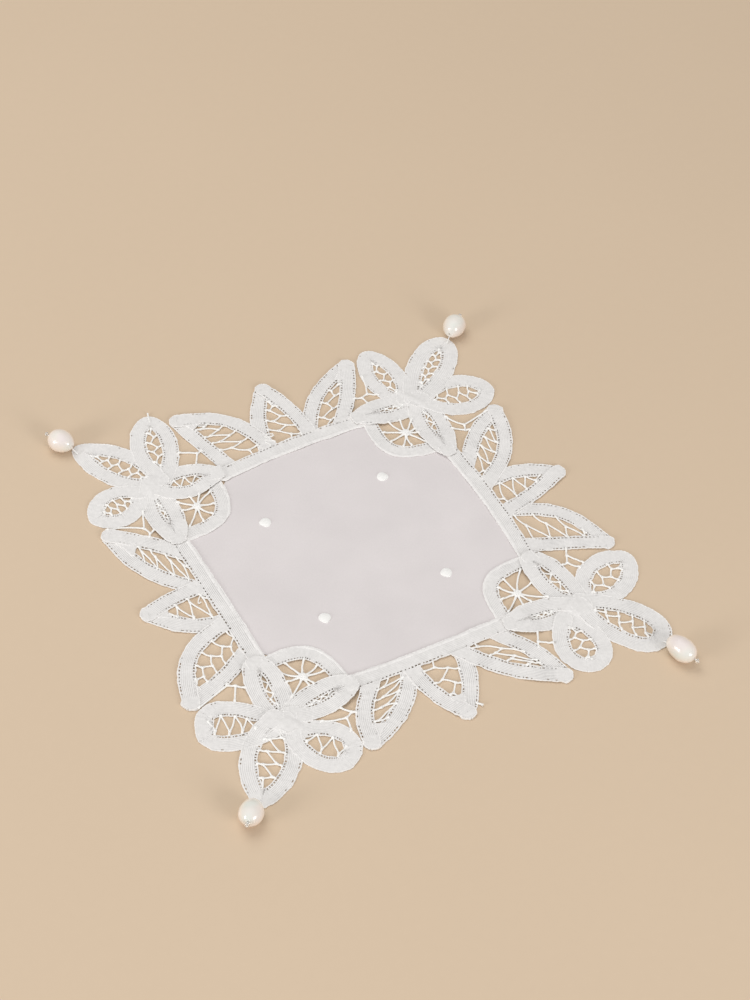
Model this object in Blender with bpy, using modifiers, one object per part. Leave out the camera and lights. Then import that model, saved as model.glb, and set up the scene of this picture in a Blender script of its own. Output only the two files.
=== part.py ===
"""A square lace doily with a pearl at each corner, lying flat.

It is made as tape lace is made. A woven tape is laid along a drawn pattern and sewn where it meets:
a straight run frames each side of a fine cotton cloth, a zigzag run makes three leaves outside it, and
a looped run makes a five-petal flower at each corner. A short arc closes a window inside each flower.
Needle-made threads fill the openings, and four dots are embroidered on the cloth.

Lengths below are in millimetres and are turned to metres where a mesh is made. The origin is under
the middle of the cloth, level with the doily's underside, and +Z is up. Every side and corner has the
same local frame (u, v), drawn as if it were the far side or the far right corner, and quarter turns
clockwise put the others in place.
"""

import math
from collections import namedtuple

import bmesh
import bpy
import mathutils
import numpy as np
from mathutils import Matrix, Vector

MM = 0.001

# Driving dimensions
TAPE_WIDTH = 5.5
ARC_WIDTH = 5.0  # the short arcs are gathered a little narrower
TAPE_THICKNESS = 1.2
CLOTH_THICKNESS = 1.0
THREAD_WIDTH = 0.9
THREAD_THICKNESS = 0.8
SEAM = 0.3  # the gap between pieces that are sewn edge to edge
TIE_SPACING = 2.2  # along a filling, from one side's tie to the other side's next one
TIE_SLOPE = 0.8  # how much further up its side a tie ends, in a petal and in a leaf
LEAF_TIE_SLOPE = 1.6
ZIGZAG_LEAN = 0.42  # where a filling's middle thread turns, as a share of its width
NARROW_PETAL = 4.6  # petals with a smaller half_width have plain bars, at these shares of their length
BAR_SHARES = (0.45, 0.7)
SMALLEST_CELL = 0.9  # the area in square millimetres under which a gap stays closed
OUTLINE_TOLERANCE = 0.06
CORNER_STEP = 0.6  # the angle in radians between the points round a corner's outside
CLOSEST_POINTS = 1e-4
FLAT_ANGLE = 0.001
OFFSET_SLACK = 0.02  # a point of a moved line may lie this much nearer to the line than it should
TIP_START = 1.0  # where a filling's first and last turns lie, in steps from its root and its tip
TIP_END = -0.4
BORDER_REACH = 34.0  # how far a border tape runs each way under the flowers' petals
CLOTH_EDGE_REACH = 24.0
BORDER_STRIDE = 5  # the cloth's outline takes each fifth point of a border and each fourth of an arc
ARC_STRIDE = 4
ARC_END_POINTS = 3  # left out at each end of an arc
TUCK = 4.0  # how far a zigzag tape's ends run on under the border tape
WHEEL_SPOKES = 8
WHEEL_FIRST_SPOKE = 12.0
WHEEL_HUB_RADIUS = 1.2
WHEEL_REACH = 9.0
WEB_ARMS = (-85.0, 18.0, 150.0)  # in degrees, of the web beside a flower's side_a
WEB_REACH = 6.0
BEAD_DIAMETER = 1.6
PEARL_RINGS = 10
BEAD_RINGS = 6
DOT_SIDES = 16
DOT_DIAMETER = 3.2
DOT_TOP_DIAMETER = 1.6
DOT_HEIGHT = 0.6

HALF_TAPE = TAPE_WIDTH / 2
SIDES = ("north", "east", "south", "west")
CORNERS = ("north_east", "south_east", "south_west", "north_west")

# Each finish: its name, its colour and its roughness.
LAWN_LOOK = ("lawn", (0.76, 0.73, 0.72), 0.85)
TAPE_LOOK = ("tape", (0.86, 0.84, 0.82), 0.80)
THREAD_LOOK = ("thread", (0.88, 0.85, 0.80), 0.65)
PEARL_LOOK = ("pearl", (0.90, 0.87, 0.83), 0.22)
BEAD_LOOK = ("seed_bead", (0.80, 0.80, 0.78), 0.10)

# A petal runs from its root in the flower's middle to its tip. half_width is that of the tape's middle
# line, which swells as share ** ROOT_POWER at the root and narrows as (1 - share) ** tip_power at the
# tip: a small power is round, and one near 1 is pointed.
Petal = namedtuple("Petal", "name root_u root_v tip_u tip_v half_width tip_power")
ROOT_POWER = 0.75
PETALS = {
    "north_east": (
        Petal("side_a", 42.3, 50.6, 41.2, 74.1, 4.9, 0.70),
        Petal("outer", 45.6, 48.3, 68.6, 69.6, 5.4, 0.50),
        Petal("side_b", 49.2, 47.1, 71.2, 43.4, 6.5, 0.60),
        Petal("inner_a", 48.4, 48.0, 24.8, 48.8, 3.3, 0.80),
        Petal("inner_b", 47.2, 49.5, 45.1, 23.6, 3.5, 0.80),
    ),
    "south_east": (
        Petal("side_a", 48.7, 54.8, 40.2, 74.9, 6.2, 0.70),
        Petal("outer", 49.4, 51.7, 71.6, 68.3, 6.3, 0.40),
        Petal("side_b", 53.5, 44.5, 71.4, 44.1, 6.1, 0.50),
        Petal("inner_a", 51.1, 52.0, 28.0, 46.7, 3.8, 0.60),
        Petal("inner_b", 49.7, 48.7, 47.9, 28.3, 3.2, 0.80),
    ),
    "south_west": (
        Petal("side_a", 49.7, 56.4, 37.4, 69.6, 5.9, 0.50),
        Petal("outer", 51.0, 49.4, 67.2, 72.3, 6.4, 0.80),
        Petal("side_b", 52.3, 51.5, 72.1, 43.0, 6.0, 0.30),
        Petal("inner_a", 47.7, 49.5, 27.3, 47.5, 3.2, 0.60),
        Petal("inner_b", 50.1, 52.5, 49.6, 29.4, 3.5, 0.50),
    ),
    "north_west": (
        Petal("side_a", 47.2, 55.1, 43.2, 71.0, 5.6, 0.70),
        Petal("outer", 48.7, 47.3, 72.4, 65.2, 5.4, 0.80),
        Petal("side_b", 50.6, 45.7, 75.4, 40.2, 5.1, 0.60),
        Petal("inner_a", 49.1, 50.9, 25.3, 51.3, 3.2, 0.70),
        Petal("inner_b", 47.3, 48.7, 45.1, 29.2, 4.4, 0.90),
    ),
}

# The rest of each corner: the arc's two ends and its bulge towards the cloth, the middle of the thread
# wheel in the window, and the middles of the two small webs outside the inner petals.
Corner = namedtuple(
    "Corner", "arc_a_u arc_a_v arc_b_u arc_b_v arc_bulge wheel_u wheel_v web_a_u web_a_v web_b_u web_b_v"
)
CORNER_PLACES = {
    "north_east": Corner(27.2, 45.5, 42.5, 27.0, 7.8, 36.0, 37.0, 30.2, 57.5, 55.6, 32.2),
    "south_east": Corner(28.1, 44.0, 45.0, 27.4, 7.2, 38.0, 36.0, 32.6, 57.8, 56.2, 32.8),
    "south_west": Corner(28.4, 44.5, 46.5, 30.3, 6.8, 38.8, 38.8, 31.0, 56.4, 57.6, 33.4),
    "north_west": Corner(25.4, 48.5, 42.5, 31.2, 7.4, 35.0, 40.5, 31.8, 58.6, 56.6, 32.0),
}

# The zigzag run of a side: where the tape's middle line starts, turns and ends. bulge is how far the
# arm that leads to the point bows out of its leaf.
Turn = namedtuple("Turn", "u v bulge")
ZIGZAGS = {
    "north": (
        Turn(-24.3, 48.5, 0.0),
        Turn(-31.5, 71.9, 0.3),
        Turn(-8.8, 51.5, 5.4),
        Turn(0.9, 73.9, 1.8),
        Turn(6.7, 49.4, 1.6),
        Turn(32.3, 73.0, 4.0),
        Turn(19.9, 51.2, 1.1),
    ),
    "east": (
        Turn(-19.6, 51.4, 0.0),
        Turn(-33.5, 69.1, 1.6),
        Turn(-6.3, 50.7, 4.5),
        Turn(-0.5, 74.3, 2.6),
        Turn(7.2, 50.4, 0.7),
        Turn(32.1, 73.0, 5.9),
        Turn(22.9, 49.2, -0.4),
    ),
    "south": (
        Turn(-23.7, 50.7, 0.0),
        Turn(-33.4, 71.4, 1.5),
        Turn(-9.2, 50.8, 2.2),
        Turn(0.0, 70.8, 1.6),
        Turn(7.7, 49.3, 1.7),
        Turn(30.4, 68.4, 3.3),
        Turn(22.2, 51.0, 1.8),
    ),
    "west": (
        Turn(-23.9, 50.2, 0.0),
        Turn(-34.1, 72.3, 1.1),
        Turn(-11.2, 49.5, 6.5),
        Turn(1.2, 71.1, 2.9),
        Turn(4.4, 53.0, 0.9),
        Turn(34.8, 70.2, 4.0),
        Turn(17.6, 50.8, 0.9),
    ),
}

# The straight run of a side bows a little. Its middle line has these v at the stations in u.
BORDER_STATIONS = (-28.0, -10.0, 10.0, 25.0)
BORDER_LINES = {
    "north": (43.8, 46.3, 47.3, 47.4),
    "east": (45.4, 47.5, 47.1, 46.6),
    "south": (46.6, 47.3, 47.7, 47.1),
    "west": (48.3, 48.7, 50.4, 50.8),
}

# A pearl lies beyond its petal, its drilled hole along its length. heading is that of the hole's far
# end, in degrees anticlockwise from +X, and tilt says how far that end points up.
Pearl = namedtuple("Pearl", "x y heading length width tilt")
PEARLS = {
    "north_east": Pearl(74.4, 72.6, 40.0, 9.2, 7.7, 0.0),
    "south_east": Pearl(69.4, -79.6, -73.0, 10.4, 7.4, 0.0),
    "south_west": Pearl(-72.7, -76.8, 232.0, 8.8, 7.2, 20.0),
    "north_west": Pearl(-70.3, 76.1, 126.0, 9.0, 7.4, 0.0),
}

DOTS = {
    "north_east": (20.0, 22.2),
    "south_east": (19.8, -21.8),
    "south_west": (-22.8, -22.0),
    "north_west": (-23.2, 20.0),
}


# Flat geometry: a line is an array of points, one row each, and a polygon goes round once.


def turned(points, quarters):
    """Points of a local frame put in place, by that many quarter turns clockwise."""
    points = np.asarray(points, float)
    for _ in range(quarters):
        points = np.stack([points[..., 1], -points[..., 0]], axis=-1)
    return points


def unit(vector):
    return vector / np.linalg.norm(vector, axis=-1, keepdims=True)


def left_of(direction):
    return np.stack([-direction[..., 1], direction[..., 0]], axis=-1)


def heading_of(degrees):
    return np.array((math.cos(math.radians(degrees)), math.sin(math.radians(degrees))))


def arc(start, end, bulge, steps=30):
    """An arc from start to end that bows to its left by bulge."""
    start, end = np.asarray(start, float), np.asarray(end, float)
    share = np.linspace(0, 1, steps)
    along = end - start
    rise = bulge * np.sin(math.pi * share)
    return start + np.outer(share, along) + np.outer(rise, left_of(unit(along)))


def at_share(line, share):
    """The point that lies that share of the way along a line."""
    places = np.linspace(0, 1, len(line))
    return np.array([np.interp(share, places, line[:, axis]) for axis in (0, 1)])


def thinned(line, tolerance=OUTLINE_TOLERANCE):
    """The line without the points that lie within tolerance of a straight line past them."""
    if len(line) < 3:
        return line
    along = line[-1] - line[0]
    span = np.linalg.norm(along)
    rest = line[1:-1] - line[0]
    if span < tolerance:
        away = np.linalg.norm(rest, axis=1)
    else:
        away = np.abs(rest @ left_of(along / span))
    far = int(away.argmax())
    if away[far] <= tolerance:
        return line[[0, -1]]
    first = thinned(line[: far + 2], tolerance)
    second = thinned(line[far + 1 :], tolerance)
    return np.concatenate([first[:-1], second])


def beside(line, distance):
    """The line moved to its left by distance, its outer corners rounded and its inner ones cut short."""
    headings = unit(np.diff(line, axis=0))
    normals = np.arctan2(*left_of(headings).T[::-1])
    moved = []
    for place, before, after in zip(line, [normals[0], *normals], [*normals, normals[-1]]):
        turn = math.remainder(after - before, 2 * math.pi)
        steps = 1 + int(abs(turn) / CORNER_STEP) if turn * distance < 0 else 1
        for step in range(steps):
            angle = before + turn * (step + 0.5) / steps
            moved.append(place + distance * np.array((math.cos(angle), math.sin(angle))))
    moved = np.array(moved)
    nearest = np.linalg.norm(moved[:, None] - line[None], axis=2).min(axis=1)
    return moved[nearest > abs(distance) - OFFSET_SLACK]


def strip(line, half_width):
    """The outline of a tape or thread of that half width along a line."""
    left, right = beside(line, half_width), beside(line, -half_width)
    return np.concatenate([thinned(left), thinned(right)[::-1]])


def inside(points, polygon):
    """Which points lie inside a polygon, by the edges that a ray to the right of each one crosses."""
    a, b = polygon, np.roll(polygon, -1, axis=0)
    x, y = points[:, 0:1], points[:, 1:2]
    spans = (a[:, 1] > y) != (b[:, 1] > y)
    rise = np.where(a[:, 1] == b[:, 1], 1.0, b[:, 1] - a[:, 1])
    crossing = a[:, 0] + (y - a[:, 1]) / rise * (b[:, 0] - a[:, 0])
    return (spans & (x < crossing)).sum(axis=1) % 2 == 1


# The tapes and threads. A patch is an outline and the opening in it, or None.

Patch = namedtuple("Patch", "outline opening")


def petal_line(petal, steps=48):
    """The tape's middle line round a petal: out along its left side and back along its right."""
    root = np.array((petal.root_u, petal.root_v))
    tip = np.array((petal.tip_u, petal.tip_v))
    widest = ROOT_POWER / (ROOT_POWER + petal.tip_power)
    share = (1 - np.cos(np.linspace(0, math.pi, steps))) / 2
    swell = (share / widest) ** ROOT_POWER * ((1 - share) / (1 - widest)) ** petal.tip_power
    across = np.outer(petal.half_width * swell, left_of(unit(tip - root)))
    along = root + np.outer(share, tip - root)
    return np.concatenate([along + across, (along - across)[-2::-1]])


def petal_patch(petal, margin=0.0):
    """A petal's tape, its outer edge that margin further out."""
    line = petal_line(petal)
    return Patch(thinned(beside(line, HALF_TAPE + margin)), thinned(beside(line, -HALF_TAPE)))


def filling(left, right, slope):
    """Threads that fill an opening between two sides: a zigzag up its middle, tied at each turn to the
    side that it is nearer to. slope is how much further up the side the tie ends."""
    length = np.linalg.norm(at_share(left, 0.5) - at_share(left, 0.0)) * 2
    count = max(2, round(length / TIE_SPACING))
    turns = [(left[0] + right[0]) / 2]
    threads = []
    for i in range(count):
        share = (i + TIP_START) / (count + TIP_START + TIP_END)
        near, far = (left, right) if i % 2 else (right, left)
        turn = at_share(near, share) * (1 - ZIGZAG_LEAN) + at_share(far, share) * ZIGZAG_LEAN
        tie = at_share(near, min(1.0, share + slope / length))
        turns.append(turn)
        threads.append(np.array((turn, tie)))
    turns.append(at_share(left, 1.0))
    threads.append(np.array(turns))
    return [Patch(strip(thread, THREAD_WIDTH / 2), None) for thread in threads]


def petal_filling(petal):
    line = petal_line(petal)
    middle = len(line) // 2
    left, right = line[: middle + 1], line[middle:][::-1]
    if petal.half_width > NARROW_PETAL:
        return filling(left, right, TIE_SLOPE)
    bars = [np.array((at_share(left, share), at_share(right, share))) for share in BAR_SHARES]
    return [Patch(strip(bar, THREAD_WIDTH / 2), None) for bar in bars]


def flower_patches(corner):
    rings = [petal_patch(petal) for petal in PETALS[corner]]
    threads = [patch for petal in PETALS[corner] for patch in petal_filling(petal)]
    return rings, threads


def flower_reach(corner, margin):
    """The outlines that other pieces keep clear of."""
    return [petal_patch(petal, margin).outline for petal in PETALS[corner]]


def zigzag_arms(side):
    turns = ZIGZAGS[side]
    ends = [np.array((turn.u, turn.v)) for turn in turns]
    return [arc(ends[i], ends[i + 1], turns[i + 1].bulge) for i in range(len(turns) - 1)]


def leaf_outlines(side, margin=0.0):
    """The edge of the tape round each leaf, that margin further out, its ends tucked in under the
    border tape."""
    arms = zigzag_arms(side)
    outlines = []
    for out, back in zip(arms[0::2], arms[1::2]):
        first = out[0] - TUCK * unit(out[1] - out[0])
        last = back[-1] + TUCK * unit(back[-1] - back[-2])
        line = np.concatenate([[first], out, back[1:], [last]])
        outlines.append(strip(line, HALF_TAPE + margin))
    return outlines


def leaves_patches(side):
    arms = zigzag_arms(side)
    tapes = [Patch(outline, None) for outline in leaf_outlines(side)]
    threads = []
    for out, back in zip(arms[0::2], arms[1::2]):
        threads += filling(out, back[::-1], LEAF_TIE_SLOPE)
    return tapes, threads


def border_line(side):
    curve = np.polyfit(BORDER_STATIONS, BORDER_LINES[side], 2)
    along = np.linspace(-BORDER_REACH, BORDER_REACH, 40)
    return np.stack([along, np.polyval(curve, along)], axis=1)


def arc_line(corner):
    place = CORNER_PLACES[corner]
    return arc((place.arc_a_u, place.arc_a_v), (place.arc_b_u, place.arc_b_v), -place.arc_bulge)


def spokes(middle, angles, reach, width):
    """Threads from a point outwards."""
    middle = np.array(middle)
    lines = [np.array((middle, middle + reach * heading_of(angle))) for angle in angles]
    return [Patch(strip(line, width / 2), None) for line in lines]


def disc(middle, radius, sides):
    angles = np.linspace(0, 2 * math.pi, sides, endpoint=False)
    return np.array(middle) + radius * np.stack([np.cos(angles), np.sin(angles)], axis=1)


def wheel_patches(corner):
    place = CORNER_PLACES[corner]
    middle = (place.wheel_u, place.wheel_v)
    angles = [WHEEL_FIRST_SPOKE + i * 360 / WHEEL_SPOKES for i in range(WHEEL_SPOKES)]
    hub = Patch(disc(middle, WHEEL_HUB_RADIUS, 2 * WHEEL_SPOKES), None)
    return [hub] + spokes(middle, angles, WHEEL_REACH, THREAD_WIDTH)


def web_patches(corner, which):
    place = CORNER_PLACES[corner]
    if which == "a":
        return spokes((place.web_a_u, place.web_a_v), WEB_ARMS, WEB_REACH, THREAD_WIDTH)
    mirrored = [90 - angle for angle in WEB_ARMS]
    return spokes((place.web_b_u, place.web_b_v), mirrored, WEB_REACH, THREAD_WIDTH)


# Pieces, each put in place by the quarter turns of its side or corner


def placed(patches, quarters):
    return [
        Patch(turned(outline, quarters), None if opening is None else turned(opening, quarters))
        for outline, opening in patches
    ]


def everywhere(names, outlines_of):
    """What outlines_of gives for each side or corner, all put in place."""
    return [turned(outline, names.index(name)) for name in names for outline in outlines_of(name)]


def covers(patch, points):
    found = inside(points, patch.outline)
    if patch.opening is not None:
        found &= ~inside(points, patch.opening)
    return found


def sheet_of_plan(name, patches, threads, cuts):
    """A flat mesh of all that the patches and threads cover, without what the cuts cover, with gaps that
    are too small to show closed. It keeps one part: the largest."""
    loops = [patch.outline for patch in patches + threads]
    loops += [patch.opening for patch in patches if patch.opening is not None]
    loops += list(cuts)
    points = [Vector(point) for loop in loops for point in loop]
    firsts = np.cumsum([0] + [len(loop) for loop in loops])
    edges = [
        (first + i, first + (i + 1) % len(loop))
        for first, loop in zip(firsts, loops)
        for i in range(len(loop))
    ]
    whole_hull = 0
    plan = mathutils.geometry.delaunay_2d_cdt(points, edges, [], whole_hull, CLOSEST_POINTS)
    corners = np.array([tuple(point) for point in plan[0]])
    triangles = np.array(plan[2])
    middles = corners[triangles].mean(axis=1)
    kept = np.zeros(len(middles), bool)
    for patch in patches + threads:
        kept |= covers(patch, middles)
    for cut in cuts:
        kept &= ~inside(middles, cut)
    mesh = bmesh.new()
    vertices = [mesh.verts.new((x * MM, y * MM, 0.0)) for x, y in corners]
    faces = [mesh.faces.new([vertices[i] for i in triangle]) for triangle in triangles]
    close_small_gaps(faces, kept)
    keep_largest(mesh, faces, kept)
    bmesh.ops.dissolve_limit(mesh, angle_limit=FLAT_ANGLE, verts=mesh.verts, edges=mesh.edges)
    data = bpy.data.meshes.new(name)
    mesh.to_mesh(data)
    mesh.free()
    return data


def groups_of(faces, chosen):
    """The chosen faces in groups that hang together by their edges."""
    number = {face: i for i, face in enumerate(faces)}
    left = {i for i in range(len(faces)) if chosen[i]}
    while left:
        group = [left.pop()]
        for i in group:
            for edge in faces[i].edges:
                for face in edge.link_faces:
                    j = number[face]
                    if j in left:
                        left.remove(j)
                        group.append(j)
        yield group


def close_small_gaps(faces, kept):
    for group in list(groups_of(faces, ~kept)):
        open_to_air = any(edge.is_boundary for i in group for edge in faces[i].edges)
        area = sum(faces[i].calc_area() for i in group) / MM**2
        if area < SMALLEST_CELL and not open_to_air:
            kept[group] = True


def keep_largest(mesh, faces, kept):
    groups = list(groups_of(faces, kept))
    largest = max(groups, key=lambda group: sum(faces[i].calc_area() for i in group))
    kept[:] = False
    kept[largest] = True
    spare = [face for face, keep in zip(faces, kept) if not keep]
    bmesh.ops.delete(mesh, geom=spare, context="FACES")


# Blender objects


def clear_scene():
    for item in list(bpy.data.objects):
        bpy.data.objects.remove(item, do_unlink=True)


def finish(name, colour, roughness):
    """A material in a plain colour, made once."""
    material = bpy.data.materials.get(name)
    if material is None:
        material = bpy.data.materials.new(name)
        material.use_nodes = True
        shader = material.node_tree.nodes["Principled BSDF"]
        shader.inputs["Base Color"].default_value = (*colour, 1.0)
        shader.inputs["Roughness"].default_value = roughness
        shader.inputs["Metallic"].default_value = 0.0
    return material


def add_object(name, data, collection, look):
    item = bpy.data.objects.new(name, data)
    data.materials.clear()
    data.materials.append(finish(*look))
    collection.objects.link(item)
    return item


def add_flat_piece(name, patches, threads, cuts, thickness, collection, look):
    """A flat piece that thick, its underside at z = 0."""
    item = add_object(name, sheet_of_plan(name, patches, threads, cuts), collection, look)
    solid = item.modifiers.new("thickness", "SOLIDIFY")
    solid.thickness = thickness * MM
    solid.offset = 1.0
    return item


def add_cloth(collection):
    rim = []
    for i, (side, corner) in enumerate(zip(SIDES, CORNERS)):
        line = border_line(side)
        rim += list(turned(line[np.abs(line[:, 0]) < CLOTH_EDGE_REACH][::BORDER_STRIDE], i))
        rim += list(turned(arc_line(corner)[ARC_END_POINTS:-ARC_END_POINTS:ARC_STRIDE], i))
    cuts = everywhere(SIDES, lambda side: [strip(border_line(side), HALF_TAPE + SEAM)])
    cuts += everywhere(CORNERS, lambda corner: [strip(arc_line(corner), ARC_WIDTH / 2 + SEAM)])
    cuts += everywhere(CORNERS, lambda corner: flower_reach(corner, SEAM))
    cloth = Patch(np.array(rim)[::-1], None)
    add_flat_piece("cloth", [cloth], [], cuts, CLOTH_THICKNESS, collection, LAWN_LOOK)


def add_side(side, collection):
    quarters = SIDES.index(side)
    flowers = everywhere(CORNERS, lambda corner: flower_reach(corner, SEAM))
    border = placed([Patch(strip(border_line(side), HALF_TAPE), None)], quarters)
    add_flat_piece(f"border_tape_{side}", border, [], flowers, TAPE_THICKNESS, collection, TAPE_LOOK)
    tapes, threads = (placed(found, quarters) for found in leaves_patches(side))
    clear = flowers + [inward_of_border(side, quarters)]
    add_flat_piece(f"leaves_{side}", tapes, threads, clear, TAPE_THICKNESS, collection, TAPE_LOOK)


def inward_of_border(side, quarters):
    """All that lies on the cloth's side of a border tape's outer edge, and the seam beyond it."""
    edge = border_line(side) + (0.0, HALF_TAPE + SEAM)
    return turned(np.concatenate([edge, [(edge[-1][0], 0.0), (edge[0][0], 0.0)]]), quarters)


def add_corner(corner, collection):
    """A corner's flower, the arc of tape inside it, the thread wheel in its window and its two webs."""
    quarters = CORNERS.index(corner)
    rings, threads = (placed(found, quarters) for found in flower_patches(corner))
    add_flat_piece(f"flower_{corner}", rings, threads, [], TAPE_THICKNESS, collection, TAPE_LOOK)
    flower = [turned(outline, quarters) for outline in flower_reach(corner, SEAM)]
    borders = everywhere(SIDES, lambda side: [strip(border_line(side), HALF_TAPE + SEAM)])
    clear = flower + borders
    tape = placed([Patch(strip(arc_line(corner), ARC_WIDTH / 2), None)], quarters)
    add_flat_piece(f"arc_tape_{corner}", tape, [], clear, TAPE_THICKNESS, collection, TAPE_LOOK)
    wheel = placed(wheel_patches(corner), quarters)
    around = clear + [turned(strip(arc_line(corner), ARC_WIDTH / 2 + SEAM), quarters)]
    name = f"thread_wheel_{corner}"
    add_flat_piece(name, wheel, [], around, THREAD_THICKNESS, collection, THREAD_LOOK)
    around = clear + everywhere(SIDES, lambda side: leaf_outlines(side, SEAM))
    for which in ("a", "b"):
        web = placed(web_patches(corner, which), quarters)
        name = f"thread_web_{corner}_{which}"
        add_flat_piece(name, web, [], around, THREAD_THICKNESS, collection, THREAD_LOOK)


def add_ball(name, size, place, pearl, collection, look, rings):
    """An egg-smooth solid of that size in millimetres, its long way along the pearl's hole."""
    mesh = bmesh.new()
    bmesh.ops.create_uvsphere(mesh, u_segments=rings + 4, v_segments=rings, radius=0.5)
    bmesh.ops.rotate(mesh, verts=mesh.verts, matrix=Matrix.Rotation(math.pi / 2, 3, "Y"))
    bmesh.ops.scale(mesh, verts=mesh.verts, vec=Vector(size) * MM)
    data = bpy.data.meshes.new(name)
    mesh.to_mesh(data)
    mesh.free()
    data.shade_smooth()
    item = add_object(name, data, collection, look)
    item.location = Vector(place) * MM
    item.rotation_euler = (0, -math.radians(pearl.tilt), math.radians(pearl.heading))
    return item


def add_pearl(corner, collection):
    pearl = PEARLS[corner]
    tilt = math.radians(pearl.tilt)
    height = math.hypot(pearl.length / 2 * math.sin(tilt), pearl.width / 2 * math.cos(tilt))
    middle = np.array((pearl.x, pearl.y, height))
    size = (pearl.length, pearl.width, pearl.width)
    add_ball(f"pearl_{corner}", size, middle, pearl, collection, PEARL_LOOK, PEARL_RINGS)
    hole = np.array((*(math.cos(tilt) * heading_of(pearl.heading)), math.sin(tilt)))
    reach = pearl.length / 2 + SEAM + BEAD_DIAMETER / 2
    size = (BEAD_DIAMETER,) * 3
    place = middle + reach * hole
    add_ball(f"seed_bead_{corner}", size, place, pearl, collection, BEAD_LOOK, BEAD_RINGS)


def add_dot(corner, collection):
    mesh = bmesh.new()
    bmesh.ops.create_cone(
        mesh,
        cap_ends=True,
        segments=DOT_SIDES,
        radius1=DOT_DIAMETER / 2 * MM,
        radius2=DOT_TOP_DIAMETER / 2 * MM,
        depth=DOT_HEIGHT * MM,
    )
    data = bpy.data.meshes.new(f"dot_{corner}")
    mesh.to_mesh(data)
    mesh.free()
    dot = add_object(f"dot_{corner}", data, collection, THREAD_LOOK)
    height = CLOTH_THICKNESS + SEAM + DOT_HEIGHT / 2
    dot.location = Vector((*DOTS[corner], height)) * MM


def main():
    clear_scene()
    doily = bpy.data.collections.new("lace_doily")
    bpy.context.scene.collection.children.link(doily)
    add_cloth(doily)
    for side in SIDES:
        add_side(side, doily)
    for corner in CORNERS:
        add_corner(corner, doily)
        add_pearl(corner, doily)
        add_dot(corner, doily)


main()
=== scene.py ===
# %% [markdown]
# # A square doily of tape lace
#
# A lace maker draws the pattern on paper, tacks a woven cotton tape along its lines, gathers the tape
# round the bends, sews it where it crosses and then fills the openings with needle-made threads. This
# notebook does the same with meshes. The plain solids come first, as a fixed frame, and each of them is
# then replaced by the tape, thread, cloth or pearl that it stands for.

# %% Load the plain solids
import math
from collections import namedtuple

import bpy
import numpy as np
from mathutils import Matrix, Vector


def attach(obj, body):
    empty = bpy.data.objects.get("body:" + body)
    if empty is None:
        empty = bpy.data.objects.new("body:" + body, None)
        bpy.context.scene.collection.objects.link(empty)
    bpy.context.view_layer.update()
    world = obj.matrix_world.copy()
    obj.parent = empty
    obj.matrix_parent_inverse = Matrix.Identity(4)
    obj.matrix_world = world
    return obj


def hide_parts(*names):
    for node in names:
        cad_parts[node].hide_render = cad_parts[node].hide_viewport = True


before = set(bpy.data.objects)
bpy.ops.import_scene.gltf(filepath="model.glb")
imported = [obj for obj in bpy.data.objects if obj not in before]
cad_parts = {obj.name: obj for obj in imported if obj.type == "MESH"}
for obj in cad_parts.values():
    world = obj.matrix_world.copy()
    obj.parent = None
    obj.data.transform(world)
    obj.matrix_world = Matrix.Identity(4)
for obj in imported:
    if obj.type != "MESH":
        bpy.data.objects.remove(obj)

MM = 0.001
SCENE = bpy.context.scene
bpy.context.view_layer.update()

# %% [markdown]
# ## One local frame for every side and corner
#
# The doily has four sides and four corners, which repeat by quarter turns, although each was worked by
# hand and differs a little. Every side is drawn as if it were the far one, and every corner as the far
# right one, in millimetres. The finished mesh is turned into place. That keeps the numbers of the four
# alike, so that they can be compared.

# %% Names, turns and directions
SIDES = ("north", "east", "south", "west")
CORNERS = ("north_east", "south_east", "south_west", "north_west")


def unit(vector):
    return vector / np.linalg.norm(vector, axis=-1, keepdims=True)


def left_of(direction):
    return np.stack([-direction[..., 1], direction[..., 0]], axis=-1)


def heading_of(degrees):
    return np.array((math.cos(math.radians(degrees)), math.sin(math.radians(degrees))))


def turned(points, quarters):
    """Points put in place by that many quarter turns clockwise. Heights, if any, stay."""
    points = np.array(points, float)
    for _ in range(quarters % 4):
        points[..., 0], points[..., 1] = points[..., 1].copy(), -points[..., 0]
    return points


def raised(plan, level):
    """Places in plan, with their heights."""
    return np.concatenate([plan, level[..., None]], axis=-1)


def travel_along(points):
    """How far along a line each of its points lies."""
    return np.concatenate([[0], np.cumsum(np.linalg.norm(np.diff(points, axis=0), axis=1))])


def blunt_reach(turns, power):
    """How far out the rim of a blunt round shape lies in each direction, against 1 along its axes."""
    return (np.abs(np.cos(turns)) ** power + np.abs(np.sin(turns)) ** power) ** (-1 / power)


# %% [markdown]
# ## The drawn pattern
#
# Each petal is a loop of tape between a root in the flower's middle and a tip. It is a formula with a
# root, a tip, a greatest half width and a power that makes its tip round or pointed. A side's leaves are
# one line through seven turns, whose arms bow out.
#
# The rows of PETALS and ZIGZAGS are not sizes that a maker would choose. Most of their values were printed
# by a least-squares fit to points read along the edges of the tape in the photograph.

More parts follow.
